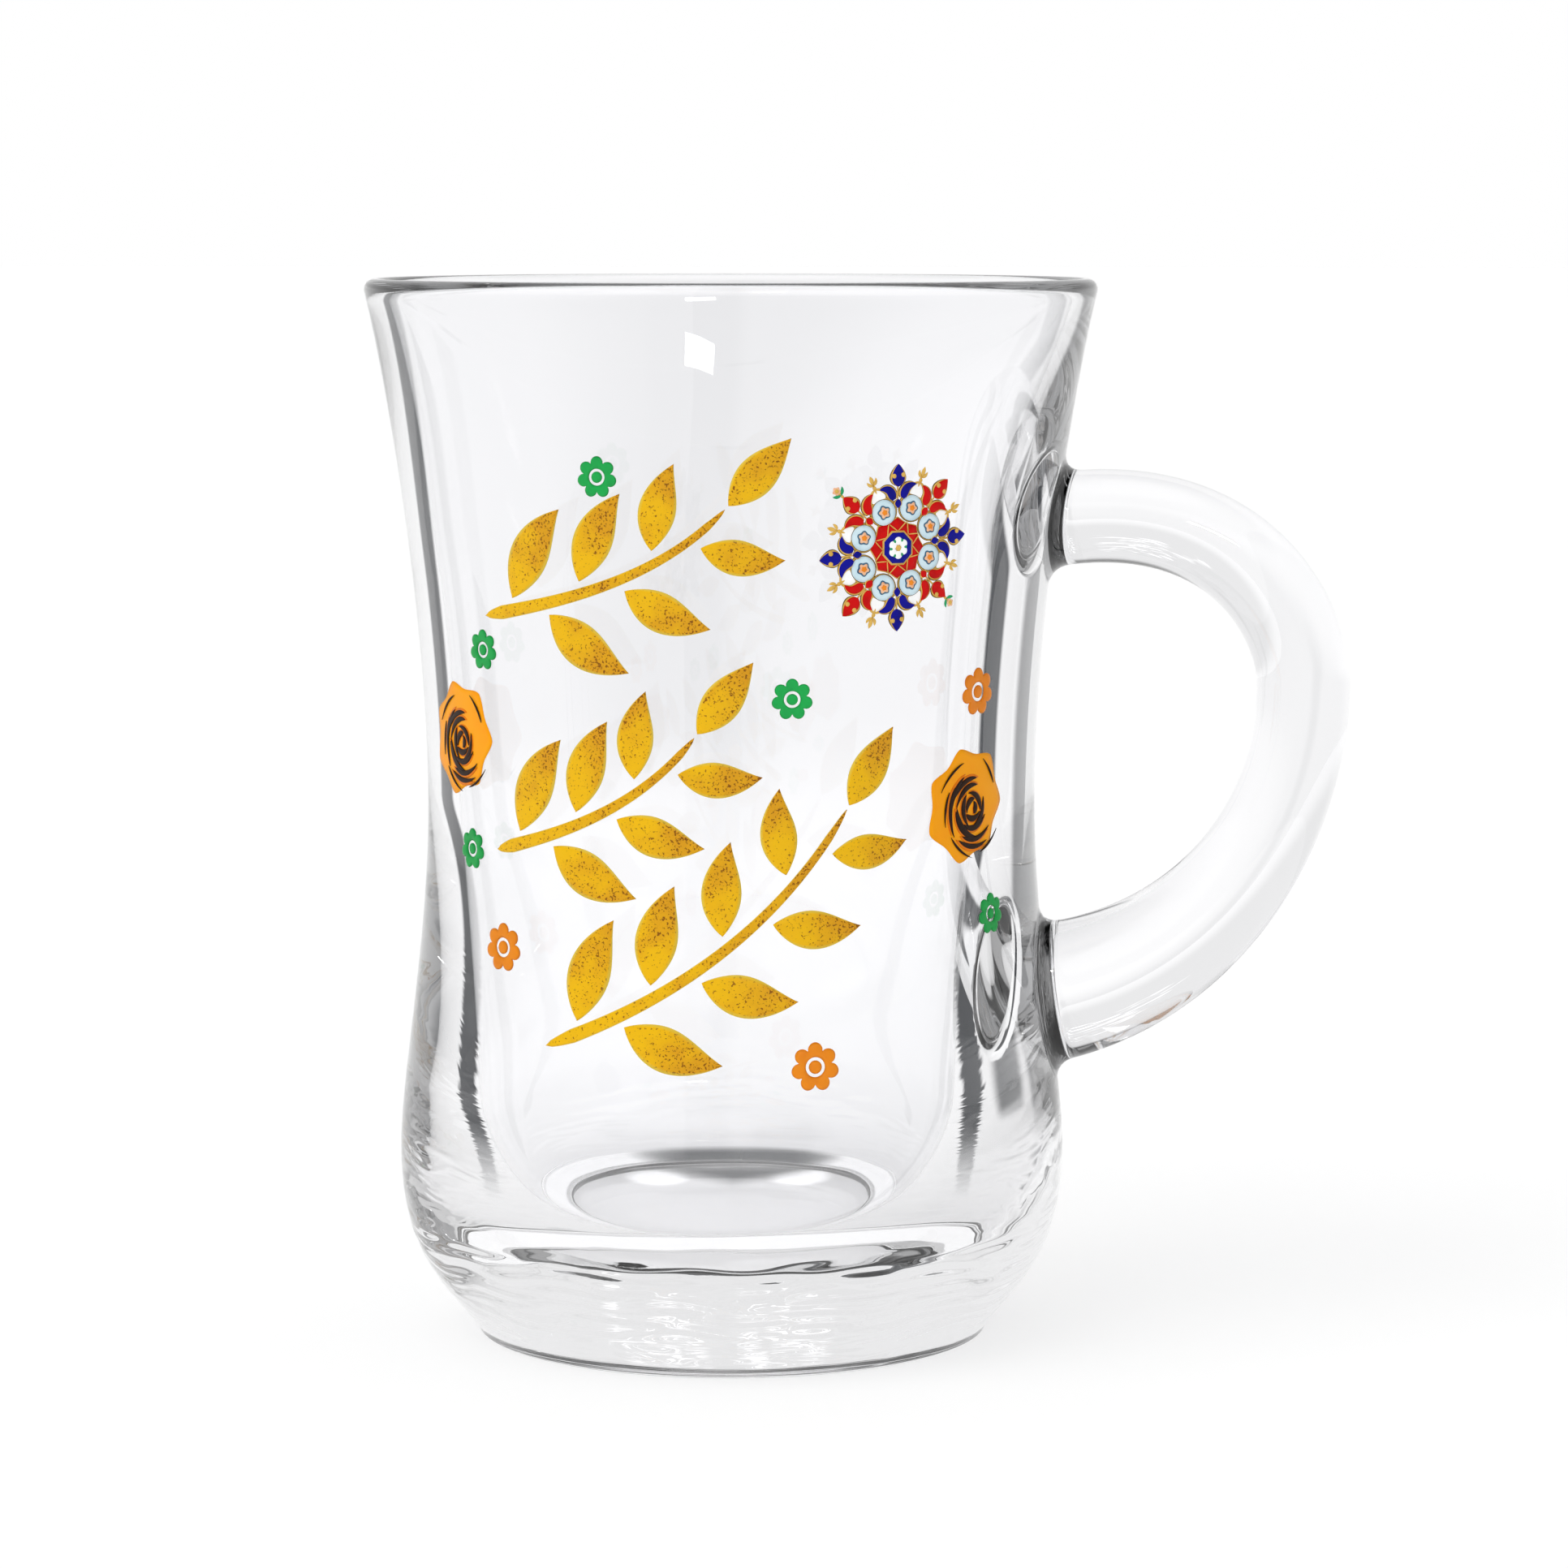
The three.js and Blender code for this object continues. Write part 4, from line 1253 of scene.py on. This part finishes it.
def aim(obj, place):
    """Puts a lamp at a place and turns it towards the middle of the glass."""
    obj.location = Vector(place) * MM
    direction = Vector((0, 0, CUP_HEIGHT / 2)) * MM - obj.location
    obj.rotation_mode = "QUATERNION"
    obj.rotation_quaternion = direction.to_track_quat("-Z", "Y")
    bpy.context.scene.collection.objects.link(obj)


def make_lamps():
    """A broad even light from the upper left, and a softbox above the camera that the far wall mirrors."""
    broad = bpy.data.lights.new("broad", "SUN")
    broad.energy = SUN_LIGHT
    broad.angle = SUN_ANGLE
    sun = bpy.data.objects.new("broad", broad)
    sun.visible_glossy = False
    sun.visible_transmission = False
    aim(sun, SUN_PLACE)
    box = bpy.data.lights.new("softbox", "AREA")
    box.energy = SOFTBOX_LIGHT
    box.shape = "RECTANGLE"
    box.size, box.size_y = (side * MM for side in SOFTBOX_SIZE)
    aim(bpy.data.objects.new("softbox", box), SOFTBOX_PLACE)


def make_camera():
    """The photograph's own view, turned so that the cup's axis lies at its pixel."""
    data = bpy.data.cameras.new("camera")
    data.sensor_width = SENSOR_WIDTH
    data.lens = SENSOR_WIDTH * FOCAL_PIXELS / PHOTO_SIDE
    data.clip_start = CAMERA_NEAR * MM
    camera = bpy.data.objects.new("camera", data)
    camera.location = Vector((
        CAMERA_DISTANCE * sin(CAMERA_AZIMUTH),
        -CAMERA_DISTANCE * cos(CAMERA_AZIMUTH),
        CAMERA_HEIGHT,
    )) * MM
    heading = CAMERA_AZIMUTH - atan((PHOTO_SIDE / 2 - AXIS_PIXEL) / FOCAL_PIXELS)
    view = Vector((
        -sin(heading) * cos(CAMERA_PITCH),
        cos(heading) * cos(CAMERA_PITCH),
        -sin(CAMERA_PITCH),
    ))
    camera.rotation_mode = "QUATERNION"
    camera.rotation_quaternion = view.to_track_quat("-Z", "Y")
    bpy.context.scene.collection.objects.link(camera)
    bpy.context.scene.camera = camera


def set_render():
    """Plain colours, and enough bounces for light to leave the glass."""
    scene = bpy.context.scene
    scene.view_settings.view_transform = "Standard"
    scene.cycles.max_bounces = BOUNCES
    scene.cycles.glossy_bounces = GLOSSY_BOUNCES
    scene.cycles.transmission_bounces = BOUNCES
    scene.cycles.transparent_max_bounces = BOUNCES


glass_piece()
make_print()
make_world()
make_floor()
make_lamps()
make_camera()
set_render()
